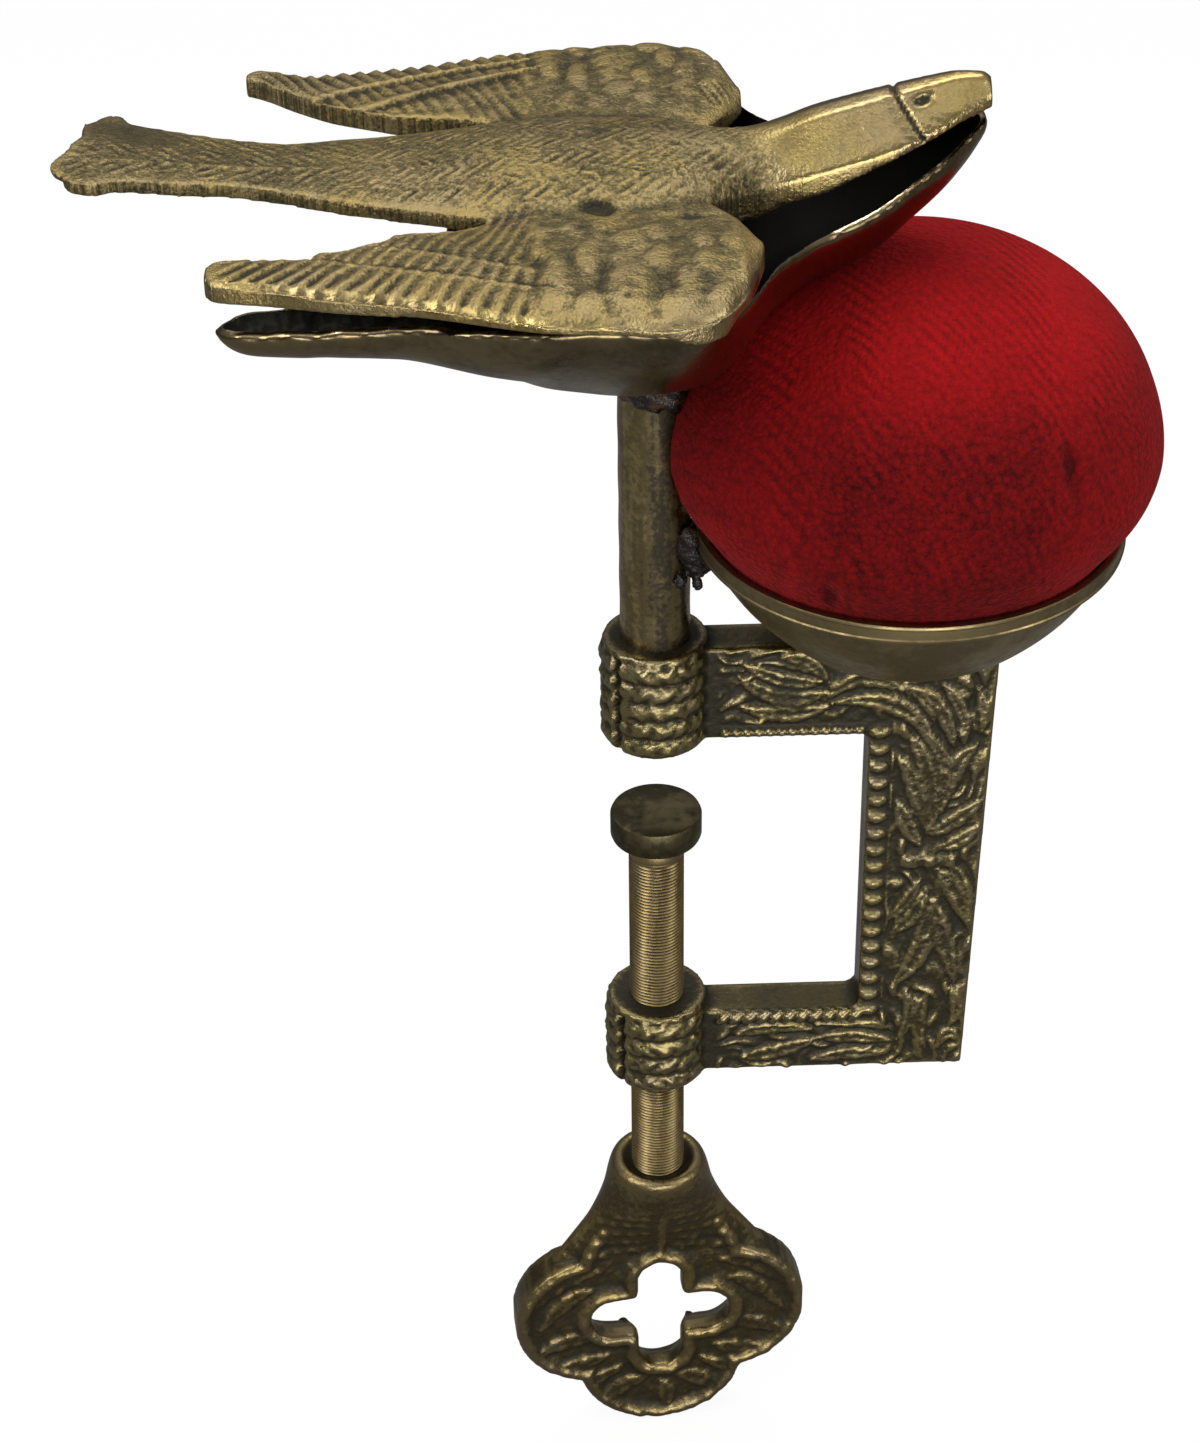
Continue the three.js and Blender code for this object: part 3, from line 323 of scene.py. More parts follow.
def lamp(name, place, target, width, height, power):
    light = bpy.data.lights.new(name, "AREA")
    light.shape, light.size, light.size_y, light.energy = "RECTANGLE", width, height, power
    holder = bpy.data.objects.new(name, light)
    holder.location = place
    holder.rotation_euler = (Vector(target) - Vector(place)).to_track_quat("-Z", "Y").to_euler()
    bpy.context.collection.objects.link(holder)


def light_stage():
    middle = (0.0, 0.0, 0.0)
    lamp("softbox_left", (-0.55, -0.35, 0.5), middle, 0.35, 0.5, 2.6)
    lamp("softbox_right", (0.6, -0.3, 0.35), middle, 0.25, 0.5, 1.3)
    lamp("softbox_top", (0.0, 0.25, 0.75), middle, 0.6, 0.3, 2.2)
    lamp("softbox_front", (0.06, -0.55, 0.0), middle, 0.5, 0.2, 1.5)
    lamp("strip_above", (-0.02, -0.28, 0.5), (0, 0, 0.08), 0.5, 0.05, 0.16)
    level = cad_box[0][2] - FLOOR_DROP
    corners = [(FLOOR_REACH * a, FLOOR_REACH * b, level) for a, b in ((-1, -1), (1, -1), (1, 1), (-1, 1))]
    mesh = bpy.data.meshes.new("floor")
    mesh.from_pydata(corners, [], [(0, 1, 2, 3)])
    floor = bpy.data.objects.new("floor", mesh)
    bpy.context.collection.objects.link(floor)
    finish = material("floor_white")
    grey = finish.add("ShaderNodeBsdfDiffuse", inputs={"Color": (0.2, 0.2, 0.2, 1)})
    paper = finish.add("ShaderNodeBsdfDiffuse", inputs={"Color": (0.85, 0.85, 0.85, 1)})
    white = finish.add("ShaderNodeEmission", inputs={"Color": (1, 1, 1, 1), "Strength": 1.04})
    sheet = finish.add("ShaderNodeMixShader", inputs={0: 0.88, 1: paper, 2: white})
    seen = finish.add("ShaderNodeLightPath", output="Is Camera Ray")
    both = finish.add("ShaderNodeMixShader", inputs={0: seen, 1: grey, 2: sheet})
    finish.add_end(both)
    mesh.materials.append(finish.owner)


# Brass, braze, velvet and steel

def aged_brass(name, raised, middle, deep, rough, grain, stipple, mottle, lines=0.0, glints=0.5):
    """Cast brass: tan where it is worn, brown in its hollows (patina, and painted shade wherever a piece
    stores it in the hollow share), with a cast grain, glints and file marks.
    """
    finish = material(name)
    hollow = finish.stored("hollow")
    polish = finish.stored("polish")
    patches = finish.speckle(3.6, detail=5)
    blots = finish.speckle(1.1, detail=5, roughness=0.7, seed=5.5)
    fine = finish.speckle(grain, detail=3)
    pits = finish.speckle(0.8, detail=4, seed=7.3)
    tint = finish.speckle(11.0, detail=3, seed=3.0)
    rubbed = 1 - polish * 0.85
    uneven = (patches - 0.5) * 0.9 + (blots - 0.5) * 1.3 + (fine - 0.5) * 1.3
    depth = hollow + uneven * rubbed * mottle
    height = (fine - 0.5) * rubbed + (pits - 0.5) * 0.7 * rubbed + (blots - 0.5) * polish * 0.2
    normal = finish.dents(height, stipple)
    if lines:
        facing = finish.add("ShaderNodeSeparateXYZ", inputs={
            "Vector": finish.add("ShaderNodeNewGeometry", output="Normal"),
        }, output="Z")
        upright = finish.between(facing.size(), 0.85, 0.5) * rubbed * finish.stored("filed")
        strokes = finish.speckle(0.5, detail=3, stretch=(1, 1, 24), seed=2.2)
        normal = finish.dents((strokes - 0.5) * upright, lines, normal)
        depth = depth + (strokes - 0.42) * upright * 2.4
    depth = depth.held()
    lit = finish.between(depth, 0.05, 0.5)
    dark = finish.between(depth, 0.45, 0.92)
    paler = tuple(v * w for v, w in zip(raised, (0.95, 0.97, 1.25)))
    warm = finish.blend(finish.between(tint, 0.4, 0.62), raised, paler)
    tone = finish.blend(dark, finish.blend(lit, warm, middle), deep)
    shine = finish.between(fine, 0.52, 0.75) * glints * (1 - dark)
    smudge = finish.speckle(2.6, detail=5, seed=12.0)
    roughness = (
        rough - polish * (rough - 0.25) + dark * 0.2 - shine * 0.28 * rubbed + (smudge - 0.5) * 0.22
    ).held()
    finish.surface(
        Base_Color=tone, Metallic=(1 - dark * 0.35).held(), Roughness=roughness, Normal=normal,
    )
    return finish.owner


def turned_brass(name, bright, dull, rough, stretch):
    """Smooth brass with a thin patina and fine marks left by the lathe."""
    finish = material(name)
    cloud = finish.speckle(9.0, detail=6)
    spots = finish.speckle(1.3, detail=5, seed=3.1)
    marks = finish.speckle(0.4, detail=2, stretch=stretch, seed=1.7)
    grime = finish.speckle(3.2, detail=6, seed=8.0)
    stain = finish.between(cloud + (spots - 0.5) * 0.6 + (grime - 0.5) * 0.5, 0.35, 0.7)
    finish.surface(
        Base_Color=finish.blend(stain, bright, dull), Metallic=1.0,
        Roughness=(rough + stain * 0.12 + (spots - 0.5) * 0.16 + (grime - 0.5) * 0.14).held(),
        Normal=finish.dents(marks + (spots - 0.5) * 0.4, 0.012),
    )
    return finish.owner


def black_braze(name):
    """Brazing metal with its burnt flux: nearly black and lumpy."""
    finish = material(name)
    lumps = finish.speckle(1.2, detail=4)
    fine = finish.speckle(0.3, detail=3, seed=4.0)
    rust = finish.between(finish.speckle(2.2, detail=3, seed=9.0), 0.5, 0.66)
    finish.surface(
        Base_Color=finish.blend(rust, (0.012, 0.009, 0.007), (0.075, 0.04, 0.02)),
        Metallic=0.2, Roughness=(0.18 + finish.between(fine, 0.45, 0.75) * 0.35).held(),
        Normal=finish.dents(lumps + fine * 0.5, 0.3), Specular_IOR_Level=0.55,
    )
    return finish.owner


def red_velvet(name):
    """Cut pile: rows of tufts that catch the light one by one; painted shade darkens its folds, and painted
    light from the stored ribs brightens its top and sides.
    """
    finish = material(name)
    pile = finish.speckle(0.3, detail=3, seed=1.0)
    tufts = finish.cells(0.75)
    patches = finish.speckle(8.0, detail=4, seed=5.0)
    brushed = finish.speckle(2.6, detail=4, stretch=(1, 1, 2.2), seed=9.0)
    # Painted shade: the velvet is darker in its folds.
    fold_shade = finish.stored("hollow")
    # The stored ribs carry the pile's ribs and painted light on the top and the sides.
    ribs = finish.stored("ribs")
    light = (
        0.25 + (pile - 0.5) * 0.6 + (patches - 0.5) * 0.15 + (brushed - 0.5) * 0.3 - (tufts - 0.4) * 0.35
        + ribs * 0.5 - fold_shade * 0.8
    ).held()
    finish.surface(
        Base_Color=finish.blend(light, (0.045, 0.0006, 0.0009), (0.4, 0.0045, 0.006)),
        Roughness=0.95, Sheen_Weight=0.22, Sheen_Roughness=0.4, Sheen_Tint=(1.0, 0.08, 0.08, 1),
        Normal=finish.dents(pile * 0.6 - tufts * 0.7 + brushed * 0.4, 0.3), Specular_IOR_Level=0.15,
    )
    return finish.owner


def drawn_steel(name):
    """Wire and pins with marks drawn along them."""
    finish = material(name)
    marks = finish.speckle(0.5, detail=3, stretch=(1, 1, 12))
    finish.surface(
        Base_Color=finish.blend(marks, (0.22, 0.2, 0.17), (0.45, 0.43, 0.4)), Metallic=1.0,
        Roughness=(0.3 + marks * 0.2).held(), Normal=finish.dents(marks, 0.02),
    )
    return finish.owner


# Forms: nets of points, closed shells and the skin that they melt into

def through(table):
    """A smooth curve through [place, value] pairs that never overshoots them."""
    x, y = (np.array(column, float) for column in zip(*table))
    slopes = np.diff(y) / np.diff(x)
    inner = np.where(
        slopes[:-1] * slopes[1:] <= 0, 0.0,
        2 * slopes[:-1] * slopes[1:] / np.where(slopes[:-1] + slopes[1:] == 0, 1, slopes[:-1] + slopes[1:]),
    )
    ends = np.concatenate([slopes[:1], inner, slopes[-1:]])

    def value(place):
        at = np.clip(place, x[0], x[-1])
        k = np.clip(np.searchsorted(x, at, side="right") - 1, 0, len(slopes) - 1)
        span = x[k + 1] - x[k]
        t = (at - x[k]) / span
        bend = ends[k] * span * t * (1 - t) ** 2 - ends[k + 1] * span * t * t * (1 - t)
        return y[k] + (y[k + 1] - y[k]) * t * t * (3 - 2 * t) + bend

    return value


def smooth(low, high, value):
    """Share from 0 at low to 1 at high, eased at both ends; it falls where high is the lower one."""
    t = np.clip((value - low) / (high - low), 0, 1)
    return t * t * (3 - 2 * t)


def bump(value, width):
    """A soft rise round zero, to 1."""
    return np.exp(-((value / width) ** 2))


def waves(x, y, size, seed, count=9):
    """Soft uneven lumps about size across, from -1 to 1."""
    chance = np.random.default_rng(seed)
    total = 0.0
    for _ in range(count):
        angle = chance.uniform(0, FULL_TURN)
        rate = FULL_TURN / size * chance.uniform(0.6, 1.5)
        total = total + np.sin(rate * (x * math.cos(angle) + y * math.sin(angle)) + chance.uniform(0, 6.3))
    return total / math.sqrt(count)


class Form:
    """Closed shells in millimetres."""

    def __init__(self):
        self.points, self.faces, self.count = [], [], 0

    def add(self, points, faces):
        self.points.append(np.asarray(points, float))
        self.faces.extend(tuple(i + self.count for i in face) for face in faces)
        self.count += len(points)

    def pair(self, top, under):
        """A body between an upper and a lower net of points."""
        rows, columns = top.shape[:2]
        index = np.arange(rows * columns).reshape(rows, columns)
        low = index + rows * columns
        faces = []
        for net, flip in ((index, False), (low, True)):
            corners = (net[:-1, :-1], net[1:, :-1], net[1:, 1:], net[:-1, 1:])
            quads = np.stack([c.ravel() for c in corners], 1)
            faces += [tuple(q[::-1] if flip else q) for q in quads.tolist()]
        edge = [*index[0, :-1], *index[:-1, -1], *index[-1, :0:-1], *index[:0:-1, 0]]
        ring = [int(i) for i in edge]
        for a, b in zip(ring, ring[1:] + ring[:1]):
            faces.append((a, b, b + rows * columns, a + rows * columns))
        self.add(np.concatenate([top.reshape(-1, 3), under.reshape(-1, 3)]), faces)

    def sleeve(self, rings, foot, crown):
        """A body round its rings of points, drawn to a point below the first and above the last."""
        rows, sides = rings.shape[:2]
        points = [*rings.reshape(-1, 3), foot, crown]
        faces = []
        for i in range(rows - 1):
            for j in range(sides):
                k = (j + 1) % sides
                faces.append((i * sides + j, i * sides + k, (i + 1) * sides + k, (i + 1) * sides + j))
        for j in range(sides):
            k = (j + 1) % sides
            faces.append((k, j, len(points) - 2))
            faces.append(((rows - 1) * sides + j, (rows - 1) * sides + k, len(points) - 1))
        self.add(points, faces)

    def turned(self, profile, sides, centre=(0, 0)):
        """A body turned about a vertical axis, from its foot on the axis to its top on the axis."""
        angles = np.linspace(0, FULL_TURN, sides, endpoint=False)
        rings = np.array([
            [(centre[0] + r * math.cos(a), centre[1] + r * math.sin(a), z) for a in angles]
            for r, z in profile[1:-1]
        ])
        self.sleeve(rings, (*centre, profile[0][1]), (*centre, profile[-1][1]))

    def tube(self, path, radii, sides):
        """A bar along a path of points, rounded off at both ends."""
        path = np.asarray(path, float)
        radii = np.array(radii)
        lead = np.gradient(path, axis=0)
        lead /= np.linalg.norm(lead, axis=1)[:, None]
        aside = np.cross(lead, (0.13, 0.97, 0.21))
        aside /= np.linalg.norm(aside, axis=1)[:, None]
        upward = np.cross(aside, lead)
        angles = np.linspace(0, FULL_TURN, sides, endpoint=False)
        rings = path[:, None] + radii[:, None, None] * (
            np.cos(angles)[None, :, None] * aside[:, None] + np.sin(angles)[None, :, None] * upward[:, None]
        )
        foot = path[0] - lead[0] * radii[0] * 0.6
        self.sleeve(rings, foot, path[-1] + lead[-1] * radii[-1] * 0.6)

    def ball(self, centre, radii, sides, rings):
        turns = [math.pi * i / rings for i in range(1, rings)]
        self.turned([(0, -1), *[(math.sin(a), -math.cos(a)) for a in turns], (0, 1)], sides)
        self.points[-1] = self.points[-1] * np.array(radii) + np.array(centre)

    def plate(self, outline, y0, y1):
        """A flat plate across Y from its outline in X and Z."""
        count = len(outline)
        points = [(x, y0, z) for x, z in outline] + [(x, y1, z) for x, z in outline]
        faces = [tuple(range(count)), tuple(range(2 * count - 1, count - 1, -1))]
        for i in range(count):
            k = (i + 1) % count
            faces.append((k, i, i + count, k + count))
        self.add(points, faces)

    def eye_plate(self, y0, y1, hole, half, low, top):
        """A plate across Y with a round hole for the hinge pin."""
        angles = np.linspace(0, FULL_TURN, 49)[:-1]
        across, upward = np.cos(angles), np.sin(angles)
        high = np.where(upward > 0, top - HINGE_Z, HINGE_Z - low)
        tiny = 1e-6
        reach = np.minimum(half / np.maximum(np.abs(across), tiny), high / np.maximum(np.abs(upward), tiny))
        eye = np.full(reach.shape, hole)
        loops = [(eye, y0), (reach, y0), (reach, y1), (eye, y1)]
        points = [
            (HINGE_X + r * c, y, HINGE_Z + r * u) for rs, y in loops for r, c, u in zip(rs, across, upward)
        ]
        count = len(angles)
        faces = []
        for k in range(4):
            after = (k + 1) % 4
            for j in range(count):
                i = (j + 1) % count
                faces.append((k * count + j, after * count + j, after * count + i, k * count + i))
        self.add(points, faces)

    def mesh(self, name):
        mesh = bpy.data.meshes.new(name)
        mesh.from_pydata(np.concatenate(self.points).tolist(), [], self.faces)
        mesh.validate()
        return mesh

    def melted(self, name, grain):
        """One even skin round all the shells, as a casting has, still in millimetres."""
        holder = bpy.data.objects.new(name, self.mesh(name))
        bpy.context.collection.objects.link(holder)
        melt = holder.modifiers.new("melt", "REMESH")
        melt.mode, melt.voxel_size, melt.adaptivity = "VOXEL", grain, 0
        skin = baked(holder)
        bpy.data.objects.remove(holder)
        return skin


def baked(holder):
    """The mesh of an object as its modifiers leave it."""
    graph = bpy.context.evaluated_depsgraph_get()
    graph.update()
    return bpy.data.meshes.new_from_object(holder.evaluated_get(graph))


class Skin:
    """The points of a fine mesh in millimetres, to be carved and then shown."""

    def __init__(self, mesh):
        self.mesh = mesh
        count = len(mesh.vertices)
        flat = np.empty(count * 3)
        mesh.vertices.foreach_get("co", flat)
        self.points = flat.reshape(-1, 3)
        edges = np.empty(len(mesh.edges) * 2, int)
        mesh.edges.foreach_get("vertices", edges)
        self.edges = edges.reshape(-1, 2)
        self.degree = np.bincount(self.edges.ravel(), minlength=count)
        self.read_normals()

    def read_normals(self):
        self.mesh.vertices.foreach_set("co", self.points.ravel())
        self.mesh.update()
        flat = np.empty(len(self.mesh.vertices) * 3)
        self.mesh.vertex_normals.foreach_get("vector", flat)
        self.normals = flat.reshape(-1, 3)

    def evened(self, points, rounds, share=1.0):
        """The points after some rounds of moving each a share of the way to the middle of its neighbours."""
        first, second = self.edges.T
        count = len(points)
        for _ in range(rounds):
            mean = np.stack([
                np.bincount(first, points[second, k], count) + np.bincount(second, points[first, k], count)
                for k in range(3)
            ], 1) / np.maximum(self.degree, 1)[:, None]
            points = points + (mean - points) * np.reshape(share, (-1, 1))
        return points

    def hollows(self, rounds):
        """How deep each point lies under its surroundings, in millimetres."""
        mean = self.evened(self.points, rounds)
        return np.einsum("ij,ij->i", mean - self.points, self.normals)

    def raise_by(self, height, direction=None):
        self.points = self.points + np.reshape(height, (-1, 1)) * (
            self.normals if direction is None else np.array(direction)
        )
        self.read_normals()

    def store(self, name, values):
        layer = self.mesh.attributes.get(name) or self.mesh.attributes.new(name, "FLOAT", "POINT")
        layer.data.foreach_set("value", np.asarray(values, float).astype(np.float32))

    def show(self, name, body, finish, stands_for=(), angle=None):
        self.mesh.vertices.foreach_set("co", (self.points * METRE).ravel())
        self.mesh.update()
        self.mesh.name = name
        return shown(name, self.mesh, body, finish, stands_for, angle)


def shown(name, mesh, body, finish, stands_for=(), angle=None):
    mesh.materials.clear()
    mesh.materials.append(finish)
    mesh.shade_smooth()
    if angle:
        mesh.set_sharp_from_angle(angle=math.radians(angle))
    piece = bpy.data.objects.new(name, mesh)
    bpy.context.collection.objects.link(piece)
    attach(piece, body)
    if stands_for:
        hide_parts(*stands_for)
    return piece


def direct(form, name, body, finish, stands_for=(), angle=None):
    """A piece that keeps the points of its form."""
    mesh = form.mesh(name)
    mesh.transform(Matrix.Scale(METRE, 4))
    return shown(name, mesh, body, finish, stands_for, angle)


# Bird: shares along the wing and the body, as in the part

WING_LENGTH = WING_TIP + SHOULDER
BIRD_LENGTH = TAIL_REACH + BEAK_REACH
TIP_DRAW = 1.3  # by which the tip of the near wing is drawn in
TIP_SPREAD = 3.0  # by which the tip of the far wing stands out
TIP_SHORT = 1.2  # by which the tip of the far wing is shorter
TIP_DROP = 0.3  # by which the wings are thicker at their tips
wing_outer = through([
    (0, 0.7), (0.017, 0.735), (0.052, 0.748), (0.104, 0.757), (0.231, 0.789), (0.363, 0.829), (0.432, 0.865),
    (0.492, 0.901), (0.553, 0.935), (0.61, 0.96), (0.725, 0.978), (0.812, 1), (0.88, 0.975), (0.924, 0.92),
    (0.955, 0.84), (0.976, 0.75), (0.99, 0.66), (1, 0.59),
])
wing_inner = through([
    (0, 0.64), (0.017, 0.6), (0.052, 0.588), (0.185, 0.577), (0.195, 0.53), (0.231, 0.52), (0.294, 0.465),
    (0.322, 0.447), (0.332, 0.413), (0.432, 0.397), (0.492, 0.36), (0.553, 0.25), (0.61, 0.17), (0.85, 0.12),
    (0.9, 0.22), (0.94, 0.32), (0.972, 0.4), (0.99, 0.46), (1, 0.5),
])
far_inner = through([
    (0, 0.66), (0.09, 0.6), (0.135, 0.572), (0.19, 0.518), (0.245, 0.476), (0.287, 0.445), (0.33, 0.413),
    (0.432, 0.39), (0.492, 0.36), (0.553, 0.25), (0.61, 0.17), (0.85, 0.12), (0.9, 0.22), (0.94, 0.32),
    (0.972, 0.4), (0.99, 0.46), (1, 0.5),
])
body_width = through([
    (0, 0.56), (0.01, 0.64), (0.03, 0.68), (0.073, 0.555), (0.142, 0.49), (0.192, 0.445), (0.242, 0.47),
    (0.291, 0.58), (0.346, 0.68), (0.4, 0.785), (0.445, 0.885), (0.49, 0.96), (0.54, 1), (0.64, 0.93),
    (0.689, 0.74), (0.719, 0.55), (0.749, 0.45), (0.813, 0.46), (0.858, 0.45), (0.898, 0.42), (0.918, 0.385),
    (0.937, 0.355), (0.967, 0.27), (1, 0.17),
])
ridge_rise = through([
    (0, 0.41), (0.073, 0.354), (0.142, 0.266), (0.192, 0.204), (0.242, 0.157), (0.291, 0.138), (0.346, 0.147),
    (0.4, 0.184), (0.445, 0.235), (0.49, 0.276), (0.54, 0.304), (0.64, 0.322), (0.689, 0.332), (0.719, 0.355),
    (0.749, 0.405), (0.778, 0.498), (0.813, 0.636), (0.858, 0.76), (0.898, 0.86), (0.937, 0.95), (0.967, 1),
    (0.99, 0.995), (1, 0.935),
])
side_rise = through([
    (0, 0.392), (0.073, 0.322), (0.142, 0.224), (0.192, 0.168), (0.242, 0.097), (0.291, 0.06), (0.346, 0.028),
    (0.445, 0), (0.64, 0), (0.719, -0.046), (0.749, -0.028), (0.778, 0.05), (0.813, 0.15), (0.858, 0.27),
    (0.898, 0.39), (0.937, 0.54), (0.967, 0.68), (1, 0.79),
])
cheek_drop = through([
    (0, 0.44), (0.445, 0.5), (0.54, 0.65), (0.64, 0.71), (0.719, 1), (0.749, 1), (0.778, 0.8), (0.813, 0.8),
    (0.858, 0.55), (0.898, 0.38), (0.937, 0.3), (1, 0.36),
])


def back_height(s, t):
    """Upper face of the body: a rounded back that turns into the flat facets of the head."""
    side, ridge = HEAD_RISE * side_rise(s), HEAD_RISE * ridge_rise(s)
    rounded = (1 - t * t) ** 0.85
    facet = np.interp(t, [0, 0.3, 0.85, 1], [1, 0.92, 0.22, 0])
    mix = smooth(0.74, 0.82, s)
    return WING_TOP + side + (ridge - side) * (rounded + (facet - rounded) * mix)


def tail_end(t):
    """How far the tail's end is cut back: two lobes, the far one shorter, with a notch between them."""
    aside = np.abs(t) - 0.65
    skew = 2.4 * smooth(0, 0.5, t)
    notch = 1.5 * np.sin(np.clip(QUARTER_TURN * aside / 0.65, -QUARTER_TURN, 0)) ** 2
    corner = 1.6 * (1 - np.sqrt(np.clip(1 - (np.maximum(aside, 0) / 0.35) ** 2, 0, 1)))
    return skew + np.where(aside < 0, notch, corner)


def add_body(form):
    """Head, back and tail, hollow from below along the belly and the neck."""
    s = np.linspace(0, 1, 300)[:, None]
    t = np.sin(np.linspace(-QUARTER_TURN, QUARTER_TURN, 61))[None, :]
    at = -TAIL_REACH + BIRD_LENGTH * s + (1 - smooth(0, 0.09, s)) * tail_end(t)
    half = BODY_HALF_WIDTH * body_width(s)
    wall = np.minimum(WALL, half / 2)
    low = WING_TOP + HEAD_RISE * side_rise(s) - CHEEK_DROP * cheek_drop(s)
    upper = back_height(s, np.abs(t))
    hollow = smooth(0.3, 0.42, s) * (1 - smooth(0.93, 0.985, s))
    flat = low + 0.3 * (1 - t * t)
    inner = np.maximum(flat, flat + (upper - WALL - flat) * hollow)
    full = np.broadcast_to
    shape = at.shape
    top = np.stack([at, full(half * t, shape), full(upper, shape)], -1)
    under = np.stack([at, full((half - wall) * t, shape), full(inner, shape)], -1)

    def brim(net, y, edge):
        return np.stack([net[:, edge, 0], y[:, 0], low[:, 0]], -1)[:, None]

    top = np.concatenate([brim(top, -half, 0), top, brim(top, half, -1)], 1)
    under = np.concatenate([brim(under, wall - half, 0), under, brim(under, half - wall, -1)], 1)
    form.pair(top, under)


def wing_places(x, y):
    """Share along the wing and across it, from its rear edge to its front rim, of a point seen from above."""
    far = y > 0
    s = (x + WING_TIP) / WING_LENGTH
    s = np.where(far, s - TIP_SHORT / WING_LENGTH * (1 - smooth(0, 0.3, s)), s)
    spread = np.where(far, TIP_SPREAD * (1 - smooth(0, 0.16, s)), -TIP_DRAW * (1 - smooth(0, 0.3, s)))
    outer, inner = HALF_SPAN * wing_outer(s), HALF_SPAN * wing_inner(s)
    inner = np.where(far, HALF_SPAN * far_inner(s), inner)
    aside = np.abs(y) - spread
    return s, (aside - inner) / np.maximum(outer - inner, 0.1), aside, outer, inner


def add_wing(form, side):
    """A wing with a rounded front rim; its underside drops a little along the shoulder, as a skirt."""
    s = np.linspace(0, 1, 200)[:, None]
    v = (1 - (1 - np.linspace(0, 1, 70)) ** 1.6)[None, :]
    outer, inner = HALF_SPAN * wing_outer(s), HALF_SPAN * (far_inner if side > 0 else wing_inner)(s)
    front = smooth(0.88, 1, v)
    rim = 0.8 * (front + smooth(0.95, 1, s) * (1 - front)) * (0.5 + 0.5 * smooth(0.05, 0.4, s))
    z = WING_TOP + 0.9 * 4 * v * (1 - v) * smooth(0, 0.5, s) - rim
    near_tip = 1 - smooth(0, 0.3, s)
    spread = TIP_SPREAD * (1 - smooth(0, 0.16, s)) if side > 0 else -TIP_DRAW * near_tip
    x = -WING_TIP + WING_LENGTH * s + (TIP_SHORT * near_tip if side > 0 else 0)
    y = side * (inner + (outer - inner) * v + spread)
    top = np.stack(np.broadcast_arrays(x, y, z), -1)
    to_edge = (outer - inner) * (1 - v)
    skirt = 1.3 * smooth(1.15, 0.75, to_edge) * smooth(0.8, 0.88, s) * (1 - smooth(0.915, 0.945, s))
    low = WING_UNDER - TIP_DROP * (1 - smooth(0.2, 0.5, s)) - skirt
    under = np.stack(np.broadcast_arrays(x, y, low), -1)
    form.pair(top[:, ::-1], under[:, ::-1])


# Coverts of a wing: middle along X and across, half length, half width and rise in millimetres
COVERTS = [
    (-12.7, 17.1, 1.1, 2.0, 0.16), (-9.2, 16.2, 1.1, 2.0, 0.16), (-5.7, 15.4, 1.1, 1.8, 0.14),
    (-3.2, 18.9, 1.5, 2.3, 0.2), (-0.2, 17.0, 1.5, 2.0, 0.2), (4.3, 18.9, 1.3, 2.2, 0.2),
    (7.4, 19.6, 1.2, 2.2, 0.18), (9.0, 25.4, 1.0, 3.4, 0.3), (2.6, 28.4, 1.2, 3.6, 0.3),
    (1.5, 32.0, 2.1, 2.6, 0.34), (7.0, 30.6, 2.2, 2.2, 0.3), (-3.5, 29.0, 2.4, 5.0, 0.38),
    (-7.7, 22.9, 1.2, 3.7, 0.3), (-7.5, 32.2, 1.5, 2.8, 0.36), (-11.0, 28.0, 1.8, 5.2, 0.4),
    (-14.2, 24.2, 1.4, 4.2, 0.34), (-15.8, 29.9, 1.1, 2.8, 0.3), (-0.2, 23.2, 1.3, 2.6, 0.22),
    (4.6, 24.0, 1.3, 2.6, 0.22), (-4.0, 23.6, 1.2, 2.2, 0.2),
]
# Hollows of a wing: middle along X and across, half length, half width and depth
HOLLOWS = [
    (-14.6, 31.9, 0.9, 1.3, 0.4), (-11.2, 32.6, 0.8, 0.9, 0.3), (-7.1, 34.0, 0.8, 0.7, 0.35),
    (-3.8, 30.8, 0.3, 0.5, 0.25), (2.8, 26.2, 0.2, 0.3, 0.2), (-12.7, 27.4, 0.8, 3.4, 0.12),
    (-9.3, 24.2, 0.8, 3.0, 0.12), (-6.3, 27.2, 0.9, 3.8, 0.14), (0.4, 26.0, 0.8, 3.0, 0.1),
]
# Pits of the casting beside the back: middle along X and Y, half length, half width and depth
PITS = [(-6.3, -11.1, 1.5, 0.8, 0.9), (-5.6, -12.0, 0.8, 0.7, 0.6), (3.4, -13.6, 1.2, 0.7, 0.4)]


def feather(f):
    """Rise across one quill: a crisp ridge, a steep hollow on its head side, then a slow rise to the next."""
    g = f % 1
    falling = 1 - smooth(0, 0.34, g)
    rising = np.clip((g - 0.34) / 0.66, 0, 1) ** 1.3
    return np.maximum(falling, rising)


